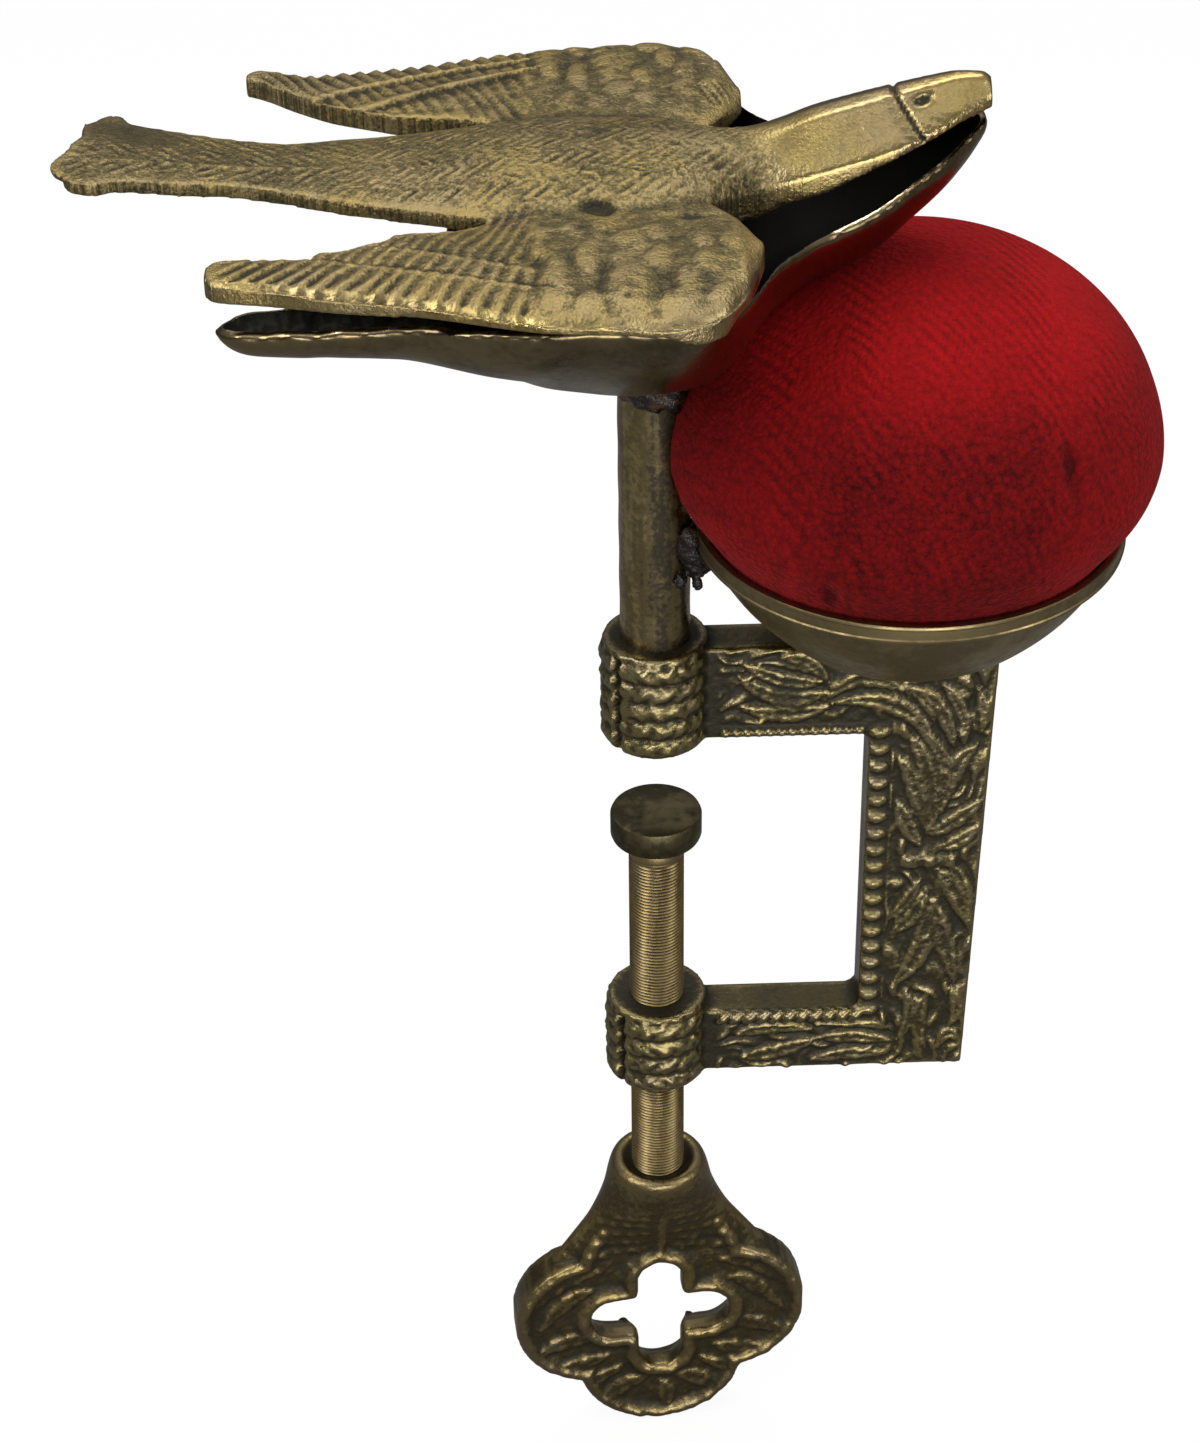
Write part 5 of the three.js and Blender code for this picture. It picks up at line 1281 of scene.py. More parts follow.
def carve_frame():
    """The C with its bosses and beads: leaves over flowing strands on its front, knuckles on its bosses."""
    form = Form()
    form.plate(frame_outline(), -FRAME_THICKNESS / 2 + 0.35, FRAME_THICKNESS / 2)
    add_boss(form, BOSS_TOP, UPPER_BOSS_HEIGHT, 5)
    add_boss(form, LOWER_BOSS_TOP, LOWER_BOSS_HEIGHT, 4)
    half = FRAME_THICKNESS / 2
    foot = LOWER_BOSS_TOP - LOWER_BOSS_HEIGHT + ARM_DROP
    inner, low_edge, high_edge = THROAT_DEPTH + 0.9, foot + LOWER_ARM_HEIGHT - 0.9, ARM_LIFT + 0.9
    for z in np.linspace(high_edge - 0.6, low_edge + 0.6, 18):
        form.ball((inner + 0.4, -half + 0.25, z), (1.25, 0.62, 0.78), 16, 8)
    for x in np.linspace(8.4, inner - 2.1, 13):
        form.ball((x, -half + 0.2, high_edge - 0.1), (0.66, 0.6, 0.6), 12, 8)
    for x in np.linspace(8.4, inner - 1.2, 11):
        start, end = (x - 0.75, -half + 0.2, low_edge - 0.75), (x + 0.75, -half + 0.2, low_edge + 0.7)
        form.tube([start, (x, -half - 0.1, low_edge), end], [0.5, 0.62, 0.5], 8)
    skin = Skin(form.melted("frame", FRAME_GRAIN))
    x, y, z = skin.points.T
    front = smooth(0.5, 0.85, -skin.normals[:, 1]) * smooth(6.9, 8.2, np.abs(x))
    field = (y < -half + 0.9) & (x > 6)
    height = np.zeros(len(x))
    rows = np.where(field)[0]
    fx, fz = x[rows], z[rows]
    rise = np.zeros(len(rows))
    for leaf in LEAVES:
        rise = np.maximum(rise, leaf_height(fx, fz, leaf))
    tie = 0.7 * np.exp(-((fz + 19.0) / 1.1) ** 4) * smooth(29.6, 30.6, fx) * smooth(38.0, 36.8, fx)
    tie = tie * (0.75 + 0.25 * np.cos(fx * 2.4))
    on_spine = smooth(inner - 0.5, inner + 2.5, fx)
    drift = waves(fx, fz, 7.0, 83) * 1.1
    upright = fx + 1.5 * np.sin(fz * 0.3) + drift
    level = fz + 1.1 * np.sin(fx * 0.38) + drift
    strand = np.cos(FULL_TURN * np.where(on_spine > 0.5, upright, level) / 2.5)
    strands = 0.4 * (0.5 + 0.5 * strand) ** 1.4 * (0.75 + 0.5 * waves(fx, fz, 4.0, 84))
    ground = waves(fx, fz, 2.8, 81) * 0.05 + waves(fx, fz, 1.1, 8) * 0.035
    rise = np.maximum(np.maximum(rise, tie), strands) + ground
    beads = (np.abs(fx - inner - 0.4) < 1.6) & (fz < high_edge + 1) & (fz > low_edge - 1)
    arms = ((np.abs(fz - high_edge) < 1.3) | (np.abs(fz - low_edge) < 1.3)) & (fx < inner + 1)
    rise = np.where(beads | arms, 0, rise)
    border = smooth(0.2, 0.8, THROAT_DEPTH + SPINE_TOP_WIDTH - 0.02 * (13 - fz) - fx)
    height[rows] = rise * border
    skin.raise_by(-height * front, (0, 1, 0))
    x, y, z = skin.points.T
    round_boss = np.hypot(x, y)
    on_boss = smooth(BOSS_RADIUS - 0.6, BOSS_RADIUS, round_boss) * smooth(8.0, 7.4, round_boss) * (x < 5.5)
    angle = np.arctan2(y, x)
    knuckle = np.sin((angle * 6.5 + 1.4 * np.sin(z * 1.1)) * FULL_TURN / 2.7 + np.floor(z / 2.6) * 2.1)
    twist = knuckle * 0.09 + waves(angle * 6.5, z, 1.8, 17) * 0.07
    notch_at = np.abs((angle + 2.42 + math.pi) % FULL_TURN - math.pi) * BOSS_RADIUS
    notch = -1.5 * smooth(0.65, 0.45, notch_at)
    notch = notch * smooth(0.7, 1.1, np.minimum(np.abs(BOSS_TOP - z), np.abs(LOWER_BOSS_TOP - z)))
    side = 1 - np.abs(skin.normals[:, 2])
    skin.raise_by(on_boss * (twist * smooth(0.3, 0.8, side) + notch))
    near = skin.hollows(4)
    broad = skin.hollows(26)
    x, y, z = skin.points.T
    flat_front = np.where(field, smooth(-half - 0.05, -half + 0.3, y), 0)
    on_arms = smooth(inner, inner - 2, x) * (1 - on_boss)
    # Darker in hollows: patina in the fine ones, painted shade in the broad recesses.
    hollow = 0.42 + near * 3.2 + broad * 1.8 + flat_front * (0.2 + 0.2 * on_arms) + 0.2 * on_arms
    hollow = hollow + waves(x, z, 9, 31) * 0.08
    hollow = np.clip(hollow - notch * on_boss, 0, 1)
    ring = smooth(BOSS_RADIUS + 0.3, 4.6, np.hypot(x, y)) * (np.abs(skin.normals[:, 2]) > 0.8) * (x < 6)
    hollow = np.clip(hollow + ring * 0.5, 0, 1)
    edge = smooth(0.55, 0.9, np.abs(skin.normals[:, 0])) + smooth(0.7, 0.95, np.abs(skin.normals[:, 2]))
    skin.store("hollow", hollow)
    skin.store("polish", np.clip(edge * 0.6 * (1 - ring), 0, 1) * (x > 7))
    finish = aged_brass(
        "frame_brass", (0.31, 0.25, 0.11), (0.125, 0.102, 0.05), (0.04, 0.034, 0.02), rough=0.34,
        grain=0.6, stipple=0.1, mottle=0.75,
    )
    return skin.show("frame_relief", "frame", finish, ("c_frame",))


# Post, braze and the stay between the post and the cup

def shape_post():
    """The post, a little uneven along its length and darker in a band down its front."""
    form = Form()
    top = BELLY_BOTTOM - 0.3
    profile = [(0, POST_FOOT)]
    for z in np.linspace(POST_FOOT, top, 60):
        profile.append((POST_RADIUS + 0.03 * math.sin(z * 0.9), z))
    profile.append((0, top))
    form.turned(profile, 96)
    skin = Skin(form.mesh("post"))
    x, y, z = skin.points.T
    angle = np.arctan2(y, x)
    band = bump(angle + 1.4, 0.5) * 0.55 + bump(angle - 1.6, 0.8) * 0.25
    skin.store("hollow", np.clip(0.3 + band + waves(angle * 9, z * 0.12, 2.4, 71) * 0.12, 0, 1))
    finish = aged_brass(
        "post_brass", (0.46, 0.36, 0.165), (0.24, 0.185, 0.088), (0.045, 0.036, 0.02), rough=0.3, grain=0.6,
        stipple=0.03, mottle=0.6,
    )
    return skin.show("post_filed", "frame", finish, ("post",), angle=40)


def shape_braze():
    """Beads of brazing metal run together round the top of the post, longest towards the front."""
    form = Form()
    chance = np.random.default_rng(4)
    beads, ring = 16, POST_RADIUS + 0.5
    for k in range(beads):
        angle = FULL_TURN * k / beads
        front = 0.5 + 0.5 * math.cos(angle + 1.1)
        drop = 1.6 + 3.4 * front
        radius = 1.0 + 0.5 * front
        place = (ring * math.cos(angle), ring * math.sin(angle), BELLY_BOTTOM + 0.2 - drop / 2)
        radii = (radius + chance.uniform(0, 0.4), radius + chance.uniform(0, 0.4), drop / 2 + 0.5)
        form.ball(place, radii, 14, 10)
    skin = Skin(form.melted("braze", BRAZE_GRAIN))
    skin.points = skin.evened(skin.points, 3, 0.5)
    skin.read_normals()
    x, y, z = skin.points.T
    skin.raise_by(waves(x * 1.3 + z, y + z, 2.2, 12) * 0.14)
    x, y, z = skin.points.T
    floor = np.maximum(z, BELLY_BOTTOM - 5.0)
    skin.points = np.stack([x, y, np.minimum(floor, BELLY_BOTTOM + 1.2)], 1)
    skin.read_normals()
    return skin.show("braze_top", "frame", BRAZE, ("post_braze",))


def shape_stay():
    """A lump of brazing metal with drips, between the post and the cup."""
    form = Form()
    x = POST_RADIUS + 0.4
    z = CUP_RIM - 1.9
    form.ball((x, -1.6, z - 1.6), (1.9, 2.6, 3.7), 18, 12)
    form.ball((x + 0.9, -0.6, z - 3.0), (2.0, 2.2, 2.7), 18, 12)
    form.ball((x - 0.6, -3.2, z - 0.2), (1.7, 1.4, 2.6), 16, 10)
    form.ball((x - 1.6, -3.9, z - 4.6), (0.8, 0.6, 1.1), 12, 8)
    form.ball((x + 0.2, -3.3, z - 5.6), (0.7, 0.7, 0.9), 12, 8)
    skin = Skin(form.melted("stay", STAY_GRAIN))
    skin.points = skin.evened(skin.points, 2, 0.5)
    skin.read_normals()
    px, py, pz = skin.points.T
    skin.raise_by(waves(px + pz, py - pz * 0.6, 2.4, 6) * 0.16 + waves(px - pz, py + pz, 1.1, 9) * 0.06)
    return skin.show("stay_lump", "frame", BRAZE, ("cup_stay",))


# Cup and cushion

cup_bowl = through([
    (0, 1), (0.165, 0.965), (0.43, 0.866), (0.705, 0.707), (0.85, 0.59), (0.95, 0.47), (1, 0.34),
])


def shape_cup():
    """The spun cup, whose rim has a band with a fine line round it."""
    depth = CUP_RIM - CUP_FLOOR
    wide = CUP_RIM_RADIUS - 0.35
    profile = [(0, CUP_FLOOR)]
    for share in np.linspace(1, 0.13, 34):
        profile.append((wide * float(cup_bowl(share)), CUP_RIM - depth * share))
    band = CUP_RIM - 2.2
    for inset, level in (
        (0.3, band - 0.12), (0.05, band + 0.02), (0, band + 0.3), (0.14, band + 0.45),
        (0.1, CUP_RIM - 0.6), (0, CUP_RIM - 0.45), (0, CUP_RIM - 0.25), (0.1, CUP_RIM - 0.05),
        (0.3, CUP_RIM), (CUP_WALL, CUP_RIM - 0.05),
    ):
        profile.append((CUP_RIM_RADIUS - inset, level))
    for share in np.linspace(0.06, 1, 30):
        z = CUP_RIM - (depth - CUP_WALL) * share
        profile.append(((CUP_RIM_RADIUS - CUP_WALL) * float(cup_bowl(share)), z))
    profile.append((0, CUP_FLOOR + CUP_WALL))
    form = Form()
    form.turned(profile, 192, (CUP_X, 0))
    finish = turned_brass("cup_brass", (0.33, 0.255, 0.125), (0.2, 0.152, 0.075), 0.33, (14, 14, 1))
    return direct(form, "cup_spun", "frame", finish, ("pincushion_cup",), angle=30)


def cushion_radius(z):
    """Radius of the cushion at a height: a dome, a tuck below its waist, and its part in the cup."""
    waist, crown = CUP_RIM + CUSHION_WAIST, CUSHION_HEIGHT - CUSHION_WAIST
    mouth = CUP_RIM_RADIUS - CUP_WALL - CUSHION_EASE
    over = CUSHION_RADIUS * np.sqrt(np.clip(1 - ((z - waist) / crown) ** 2, 0, 1))
    tuck = np.clip((waist - z) / (waist - CUP_RIM), 0, 1) ** 1.8
    under = CUSHION_RADIUS - (CUSHION_RADIUS - mouth) * tuck
    depth = (CUP_RIM - z) / (CUP_RIM - CUP_FLOOR - CUP_WALL)
    room = (CUP_RIM_RADIUS - CUP_WALL) * cup_bowl(depth) - CUSHION_EASE
    return np.where(z >= waist, over, np.where(z >= CUP_RIM, under, room))


CLOTH_SCALE = 0.1  # the cushion is simulated in centimetres
CLOTH_STEPS = 20
PUFF = 1.6  # furthest that a point may move as the velvet fills
# Folds of the velvet: place of their middles
FOLDS = [(44.0, -22.7, 47.6), (6.9, -13.1, 35.2), (50.0, -14.0, 36.0), (18.0, -23.5, 34.6)]


def cushion_net(rows, columns, share):
    """The cushion's form from its foot to its crown, drawn in towards its axis by the share."""
    foot, crown = CUP_FLOOR + CUSHION_LIFT, CUP_RIM + CUSHION_HEIGHT - 0.9
    z = foot + (crown - foot) * (0.5 - 0.5 * np.cos(math.pi * np.linspace(0.004, 0.9985, rows)))
    profile = [(0, foot)]
    for level in z:
        drawn = 1 - (1 - share) * float(smooth(CUP_RIM + 1, CUP_RIM + 9, level))
        profile.append((float(cushion_radius(level)) * drawn, level))
    profile.append((0, crown))
    form = Form()
    form.turned(profile, columns, (CUP_X, 0))
    return form


def clear_of_neighbours(points):
    """Keep the velvet inside its own room: off the post, the braze and the cup, and under the bird."""
    x, y, z = points.T
    middle = CUP_RIM + 14
    levels = np.linspace(CUP_FLOOR + CUSHION_LIFT, CUP_RIM + CUSHION_HEIGHT, 900)
    radii = np.array([float(cushion_radius(level)) for level in levels])
    tilts, rooms = np.arctan2(levels - middle, radii), np.hypot(radii, levels - middle)
    dx, dy, dz = x - CUP_X, y, z - middle
    flat = np.hypot(dx, dy)
    reach = np.sqrt(flat ** 2 + dz ** 2)
    spare = 0.35 * smooth(CUP_RIM + 1, CUP_RIM + 6, z) * smooth(0, 8, -y)
    most = np.interp(np.arctan2(dz, flat), tilts, rooms) + spare
    scale = np.where(reach > most, most / np.maximum(reach, 0.01), 1)
    x, y, z = CUP_X + dx * scale, dy * scale, middle + dz * scale
    limit = POST_RADIUS + 0.4
    lump = np.where((z > CUP_RIM - 9) & (z < CUP_RIM + 3.2) & (y > -5.2) & (y < 1.8), 3.4, 0.0)
    off_post = np.sqrt(np.clip((limit + lump) ** 2 - y ** 2, 0, None))
    blocked = (np.abs(y) < limit + lump) & (x < off_post)
    x = np.where(blocked, off_post, x)
    return np.stack([x, y, z], 1)


def stuffed(mesh):
    """The velvet blown out by its stuffing, held where the cup grips it, as one simulated cloth."""
    mesh.transform(Matrix.Scale(CLOTH_SCALE, 4))
    holder = bpy.data.objects.new("cushion_cloth", mesh)
    bpy.context.collection.objects.link(holder)
    held = [v.index for v in mesh.vertices if v.co.z < (CUP_RIM + 0.6) * CLOTH_SCALE]
    holder.vertex_groups.new(name="held").add(held, 1.0, "REPLACE")
    cloth = holder.modifiers.new("stuffing", "CLOTH")
    cloth.settings.quality = 6
    cloth.settings.use_pressure = True
    cloth.settings.uniform_pressure_force = 4
    cloth.settings.effector_weights.gravity = 0
    cloth.settings.vertex_group_mass = "held"
    cloth.settings.shrink_min = -0.05
    cloth.settings.bending_stiffness = 0.2
    cloth.point_cache.frame_start, cloth.point_cache.frame_end = 1, CLOTH_STEPS
    for step in range(1, CLOTH_STEPS + 1):
        bpy.context.scene.frame_set(step)
    puffed = baked(holder)
    bpy.context.scene.frame_set(1)
    bpy.data.objects.remove(holder)
    puffed.transform(Matrix.Scale(1 / CLOTH_SCALE, 4))
    return puffed


def subdivided(mesh, levels):
    """The mesh with its faces split and rounded some times over."""
    holder = bpy.data.objects.new("finer", mesh)
    bpy.context.collection.objects.link(holder)
    finer = holder.modifiers.new("finer", "SUBSURF")
    finer.levels = levels
    result = baked(holder)
    bpy.data.objects.remove(holder)
    return result


def shape_cushion():
    """The velvet: a cloth filled from within, then gathered at the rim and tugged into folds."""
    base = cushion_net(60, 90, 0.965).melted("cushion", CUSHION_GRAIN)
    start = Skin(base).points.copy()
    base = stuffed(base)
    skin = Skin(base)
    moved = skin.points - start
    far = np.maximum(np.linalg.norm(moved, axis=1), 1e-6)
    skin.points = start + moved * np.minimum(1, PUFF / far)[:, None]
    skin.read_normals()
    skin = Skin(subdivided(skin.mesh, 2))
    x, y, z = skin.points.T
    angle = np.arctan2(y, x - CUP_X)
    over = smooth(CUP_RIM + 0.5, CUP_RIM + 3, z)
    gather = 0.34 * np.exp(-((z - CUP_RIM) / 6.0) ** 2) * np.sin(23 * angle + 1.2 * np.sin(3 * angle))
    slump = waves(angle * 20, z, 26, 41) * 0.25 + waves(angle * 20, z, 11, 43) * 0.1
    tug = 0.0 * x
    for fx, fy, fz in FOLDS:
        gap = (x - fx) ** 2 + (y - fy) ** 2
        tug = tug - 0.9 * np.exp(-gap / 2.4 - ((z - fz) / 7.0) ** 2)
        ridge = (x - fx + 2.2) ** 2 + (y - fy - 0.6) ** 2
        tug = tug + 0.5 * np.exp(-ridge / 3.4 - ((z - fz) / 7.5) ** 2)
    skin.raise_by((gather + slump + tug) * over)
    skin.points = clear_of_neighbours(skin.points)
    skin.read_normals()
    x, y, z = skin.points.T
    # Painted shade: darker in the folds and broad hollows of the velvet.
    skin.store("hollow", np.clip(skin.hollows(30) * 0.5 - tug * 0.4, 0, 1))
    lean = (x - CUP_X) * 0.8 + y * 0.5 + z * 0.35
    ribs = np.sin(FULL_TURN * lean / 1.25 + waves(x, z, 6, 91) * 1.2)
    # Painted light: the top and both sides are made lighter through the stored ribs, beside the pile's own
    # ribs.
    upper = smooth(50, 61, z)
    sides = 0.3 * smooth(-9, -17, x - CUP_X) + 0.35 * smooth(9, 16, x - CUP_X)
    worn = smooth(-0.6, 0.8, waves(x, z, 9, 92))
    skin.store("ribs", sides + 0.95 * upper + 0.55 * ribs * (0.35 + 0.65 * upper) * worn)
    cushion = skin.show("cushion_velvet", "frame", red_velvet("velvet_red"), ("cushion_cover",))
    return cushion


# Screw, pad and handle

def shape_screw():
    """The screw, whose thread runs out at both ends and whose top is reduced to a nib for the pad."""
    low, high = SOCKET_TOP - 2.5, SCREW_TOP - 2.2
    sides, per_turn = 56, 7
    rings = int((high - low) / THREAD_PITCH * per_turn)
    angle = np.linspace(0, FULL_TURN, sides, endpoint=False)
    level, turn = np.meshgrid(np.linspace(low, high, rings), angle, indexing="ij")
    phase = (level / THREAD_PITCH - turn / FULL_TURN) % 1
    fade = smooth(low, low + 1, level) * smooth(high, high - 1, level)
    r = SCREW_RADIUS - THREAD_DEPTH * np.abs(2 * phase - 1) ** 1.2 * fade
    body = np.stack([r * np.cos(turn), r * np.sin(turn), level], -1)

    def ring(radius, z):
        return np.stack([radius * np.cos(angle), radius * np.sin(angle), np.full(sides, z)], -1)[None]

    foot, top, nib = SOCKET_TOP - SOCKET_DEPTH + 0.3, SCREW_TOP - 0.3, 2.9
    last = ring(SCREW_RADIUS, SCREW_TOP - 0.9)
    net = np.concatenate([ring(SCREW_RADIUS, foot), body, last, ring(nib, top)])
    form = Form()
    form.sleeve(net, (0, 0, foot), (0, 0, top))
    skin = Skin(form.mesh("screw"))
    depth = SCREW_RADIUS - np.hypot(*skin.points[:, :2].T)
    skin.store("hollow", np.clip(depth * 3.4, 0, 1))
    finish = aged_brass(
        "screw_brass", (0.34, 0.25, 0.1), (0.17, 0.125, 0.052), (0.03, 0.023, 0.012), rough=0.38, grain=0.8,
        stipple=0.012, mottle=0.35, glints=0.2,
    )
    return skin.show("screw_threads", "screw", finish, ("threaded_rod",), angle=50)


def shape_pad():
    """The loose pad, turned, with its edges broken."""
    top, low, r = PAD_TOP, SCREW_TOP, PAD_RADIUS
    form = Form()
    form.turned([
        (0, low), (1.9, low), (r - 0.6, low), (r - 0.15, low + 0.2), (r, low + 0.6), (r, top - 0.5),
        (r - 0.15, top - 0.15), (r - 0.5, top), (3.0, top), (0, top),
    ], 128)
    finish = turned_brass("pad_brass", (0.17, 0.14, 0.07), (0.055, 0.046, 0.026), 0.36, (8, 8, 1))
    return direct(form, "pad_turned", "pad", finish, ("screw_pad",), angle=25)


# Leaves of the handle: root, middle and tip from the middle of the plate, and half width, in millimetres
HANDLE_LEAVES = [
    ((8.6, 9.2), (13.4, 7.8), (17.6, 3.2), 1.1), ((9.6, 5.6), (13.4, 3.6), (17.4, -1.6), 1.0),
    ((7.4, 11.8), (11.6, 12.0), (15.8, 9.2), 0.9), ((9.2, -3.2), (13.6, -3.8), (17.2, -5.8), 1.0),
    ((7.6, -7.0), (11.8, -8.4), (15.2, -8.2), 1.0), ((-8.6, 9.2), (-13.4, 7.8), (-17.6, 3.2), 1.1),
    ((-9.6, 5.6), (-13.4, 3.6), (-17.4, -1.6), 1.0), ((-7.4, 11.8), (-11.6, 12.0), (-15.8, 9.2), 0.9),
    ((-9.2, -3.2), (-13.6, -3.8), (-17.2, -5.8), 1.0), ((-7.6, -7.0), (-11.8, -8.4), (-15.2, -8.2), 1.0),
    ((2.2, -12.2), (6.0, -13.8), (8.8, -16.6), 1.1), ((-2.2, -12.2), (-6.0, -13.8), (-8.8, -16.6), 1.1),
    ((0.0, -13.4), (0.8, -16.0), (0.0, -18.8), 1.0), ((3.0, 12.2), (4.6, 16.4), (4.0, 20.0), 1.0),
    ((-3.0, 12.2), (-4.6, 16.4), (-4.0, 20.0), 1.0), ((5.6, -9.4), (9.4, -11.6), (11.6, -12.2), 0.8),
    ((-5.6, -9.4), (-9.4, -11.6), (-11.6, -12.2), 0.8),
]
neck_wide = through([(0, 0.37), (0.04, 0.42), (0.3, 0.5), (0.55, 0.63), (0.75, 0.79), (1, 1)])
neck_thick = through([(0, 0.88), (0.04, 1), (0.3, 0.86), (0.55, 0.62), (0.75, 0.46), (1, 0.34)])


def lobe_distance(x, z):
    """How far a point lies outside the plate, which is four joined discs."""
    return np.minimum.reduce([
        np.hypot(x - a * LOBE_OFFSET, z - b * LOBE_OFFSET) - LOBE_RADIUS
        for a, b in ((1, 0), (-1, 0), (0, 1), (0, -1))
    ])


def hole_distance(x, z):
    """How far a point lies outside the hole: a cross of two arms with round ends round a wide heart."""
    arms = np.hypot(np.maximum(np.abs(x) - HOLE_ARM, 0), z) - HOLE_ARM_RADIUS
    legs = np.hypot(x, np.maximum(np.abs(z) - HOLE_LEG, 0)) - HOLE_LEG_RADIUS
    return np.minimum.reduce([arms, legs, np.hypot(x, z) - HOLE_HEART])


def neck_relief(x, z):
    """Two fields of small leaves either side of a ridge, on the neck above the plate."""
    rise = 0.35 * bump(x, 0.8) * smooth(11.0, 12.5, z) * smooth(21.5, 19.5, z)
    for row, level in enumerate((12.6, 14.6, 16.6, 18.6, 20.2)):
        for column in range(5 - row // 2):
            at = 2.3 + 1.9 * column + 0.5 * (row % 2)
            leaf = ((np.abs(x) - at - 0.5 * (z - level)) / 0.75) ** 2 + ((z - level) / 0.55) ** 2
            rise = rise + 0.28 * np.exp(-leaf)
    return rise - 0.12 * smooth(10.0, 12.0, z) * smooth(22.0, 20.5, z)


def add_pierced_plate(form, grain):
    """The plate as a slab of small squares, wherever a place lies on the lobes and off the hole."""
    xs = np.arange(-21.2, 21.2, grain)
    zs = np.arange(-21.0, 21.0, grain)
    gx, gz = np.meshgrid(xs, zs, indexing="ij")
    inside = (lobe_distance(gx, gz) < 0) & (hole_distance(gx, gz) > 0)
    points, faces, number = [], [], {}

    def corner(i, j, level):
        key = (i, j, level)
        if key not in number:
            number[key] = len(points)
            points.append((xs[i] - grain / 2, level, zs[j] - grain / 2 + HANDLE_CENTRE))
        return number[key]

    front, back = -HANDLE_HALF, HANDLE_HALF
    for i in range(1, len(xs) - 1):
        for j in range(1, len(zs) - 1):
            if not inside[i, j]:
                continue
            ring = ((i, j), (i + 1, j), (i + 1, j + 1), (i, j + 1))
            faces.append(tuple(corner(a, b, front) for a, b in ring))
            faces.append(tuple(corner(a, b, back) for a, b in ring[::-1]))
            for k, (di, dj) in enumerate(((0, -1), (1, 0), (0, 1), (-1, 0))):
                one, two = ring[k], ring[(k + 1) % 4]
                if not inside[i + di, j + dj]:
                    edge = (two + (front,), one + (front,), one + (back,), two + (back,))
                    faces.append(tuple(corner(*place) for place in edge))
    form.add(points, faces)


def add_neck(form):
    """The neck that widens from the socket down to the plate."""
    s = np.linspace(0, 1, 60)[:, None]
    angle = np.linspace(0, FULL_TURN, 64, endpoint=False)[None, :]
    x = NECK_HALF_WIDTH * neck_wide(s) * np.cos(angle)
    y = NECK_HALF_DEPTH * neck_thick(s) * np.sin(angle)
    z = SOCKET_TOP - NECK_LENGTH * s + 0 * angle
    form.sleeve(np.stack([x, y, z], -1)[::-1], (0, 0, SOCKET_TOP - NECK_LENGTH), (0, 0, SOCKET_TOP))


def handle_relief(x, y, local):
    """Rise of the rims, leaves and neck of the handle, at a height counted from the plate's middle."""
    plate, hole = lobe_distance(x, local), hole_distance(x, local)
    rim = bump(plate + 1.0, 0.95) * 0.5 + bump(hole - 1.0, 0.95) * 0.5
    leaves = np.zeros(len(x))
    for leaf in HANDLE_LEAVES:
        leaves = np.maximum(leaves, leaf_height(x, local, leaf, 16))
    leaves = leaves * 0.75 * smooth(-1.4, -2.4, plate) * smooth(1.3, 2.3, hole)
    sunk = -0.45 * smooth(-1.2, -2.6, plate) * smooth(1.2, 2.6, hole) * (local < 21)
    ground = waves(x, local, 2.6, 52) * 0.09 + waves(x, local, 1.4, 53) * 0.04
    rise = (np.maximum(rim, leaves) + sunk + ground) * smooth(17.5, 12.0, local)
    return rise + neck_relief(x, local) * (np.abs(y) > 1.2)


def widen_hole_behind(skin):
    """Move the hole's walls outward towards the back, as if countersunk from there."""
    x, y, z = skin.points.T
    local, step = z - HANDLE_CENTRE, 0.9
    across = (hole_distance(x + step, local) - hole_distance(x - step, local)) / (2 * step)
    upward = (hole_distance(x, local + step) - hole_distance(x, local - step)) / (2 * step)
    grow = 1.5 * smooth(-0.6, 2.4, y) * smooth(4.0, 0.5, hole_distance(x, local))
    skin.points = skin.points + np.stack([across, 0 * across, upward], 1) * grow[:, None]
    skin.points = skin.evened(skin.points, 4, np.where(grow > 0.05, 0.5, 0.15))
    skin.read_normals()


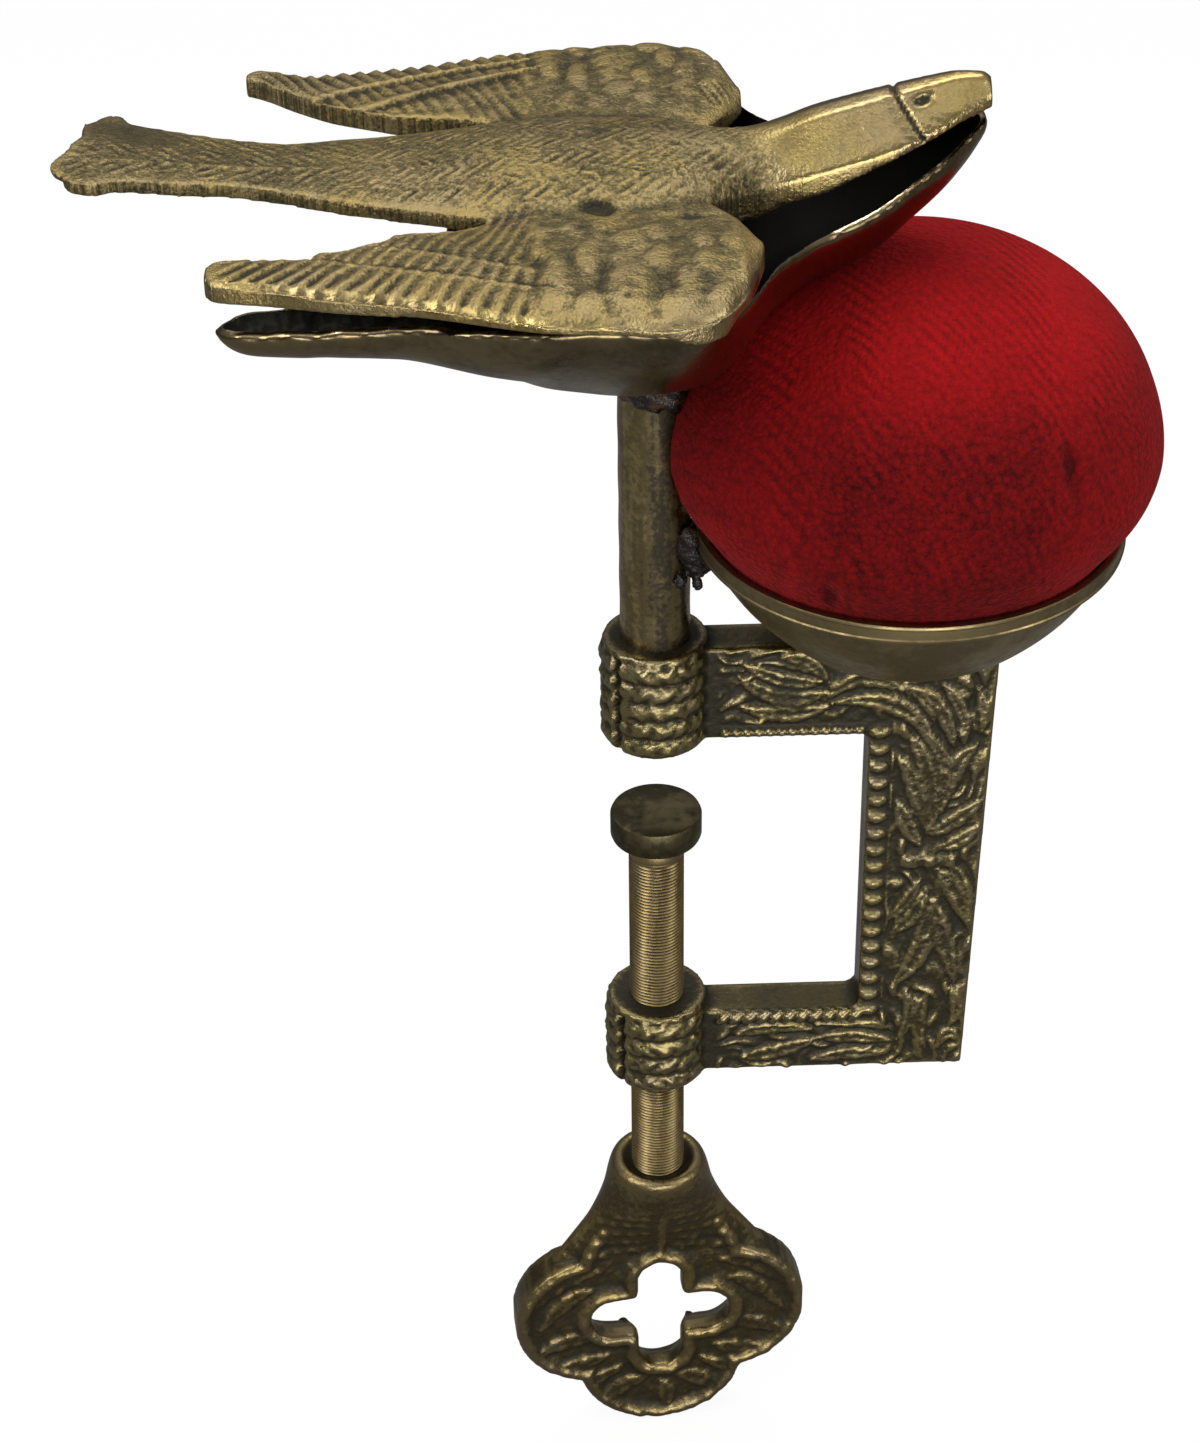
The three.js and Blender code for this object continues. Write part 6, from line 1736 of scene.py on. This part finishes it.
def carve_handle():
    """The pierced plate with its neck, carved on both faces, and a dish round the screw."""
    form = Form()
    add_pierced_plate(form, HANDLE_GRAIN)
    add_neck(form)
    skin = Skin(form.melted("handle", HANDLE_GRAIN))
    skin.points = skin.evened(skin.points, 5, 0.6)
    skin.read_normals()
    x, y, z = skin.points.T
    face = smooth(0.5, 0.9, np.abs(skin.normals[:, 1]))
    skin.raise_by(handle_relief(x, y, z - HANDLE_CENTRE) * face * np.sign(y), (0, 1, 0))
    widen_hole_behind(skin)
    x, y, z = skin.points.T
    dish = smooth(SOCKET_TOP - 0.8, SOCKET_TOP - 0.2, z) * smooth(5.2, 3.4, np.hypot(x, y))
    skin.raise_by(-0.9 * dish, (0, 0, 1))
    near, broad = skin.hollows(4), skin.hollows(26)
    x, y, z = skin.points.T
    # Darker in hollows: patina in the fine ones, painted shade in the broad recesses.
    hollow = np.clip(0.44 + near * 2.6 + broad * 1.3 + waves(x, z, 8, 51) * 0.1, 0, 1)
    hollow = np.clip(hollow + 0.5 * smooth(5.4, 4.4, np.hypot(x, y)) * (z > SOCKET_TOP - 1.8), 0, 1)
    skin.store("hollow", hollow)
    skin.store("polish", smooth(0.3, 0.05, np.abs(skin.normals[:, 1])) * 0.5)
    c, u = math.cos(HANDLE_TURN), math.sin(HANDLE_TURN)
    skin.points[:, :2] = skin.points[:, :2] @ np.array([[c, -u], [u, c]]).T
    finish = aged_brass(
        "handle_brass", (0.27, 0.205, 0.085), (0.13, 0.1, 0.046), (0.04, 0.033, 0.018), rough=0.36,
        grain=0.6, stipple=0.07, mottle=0.6,
    )
    return skin.show("handle_relief", "screw", finish, ("thumb_handle",))


def dress_small_pieces():
    """Finishes of the small pieces that keep the part's own form."""
    steel = drawn_steel("steel_wire")
    for node in ("hinge_pin", "beak_spring", "handle_pin"):
        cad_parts[node].material_slots[0].material = steel
    wool = material("wool")
    lint = wool.speckle(0.6, detail=4)
    wool.surface(
        Base_Color=wool.blend(lint, (0.62, 0.57, 0.48), (0.85, 0.82, 0.75)), Roughness=0.95,
        Normal=wool.dents(lint, 0.3),
    )
    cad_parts["cushion_stuffing"].material_slots[0].material = wool.owner
    card = material("pressed_card")
    fibre = card.speckle(0.8, detail=4)
    card.surface(
        Base_Color=card.blend(fibre, (0.42, 0.33, 0.22), (0.6, 0.5, 0.36)), Roughness=0.85,
        Normal=card.dents(fibre, 0.05),
    )
    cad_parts["cushion_card"].material_slots[0].material = card.owner


place_camera()
light_room()
light_stage()
BRAZE = black_braze("braze_black")
carve_bird()
shape_shell()
carve_frame()
shape_post()
shape_braze()
shape_stay()
shape_cup()
shape_cushion()
shape_screw()
shape_pad()
carve_handle()
dress_small_pieces()
bpy.context.scene.view_settings.view_transform = "Standard"
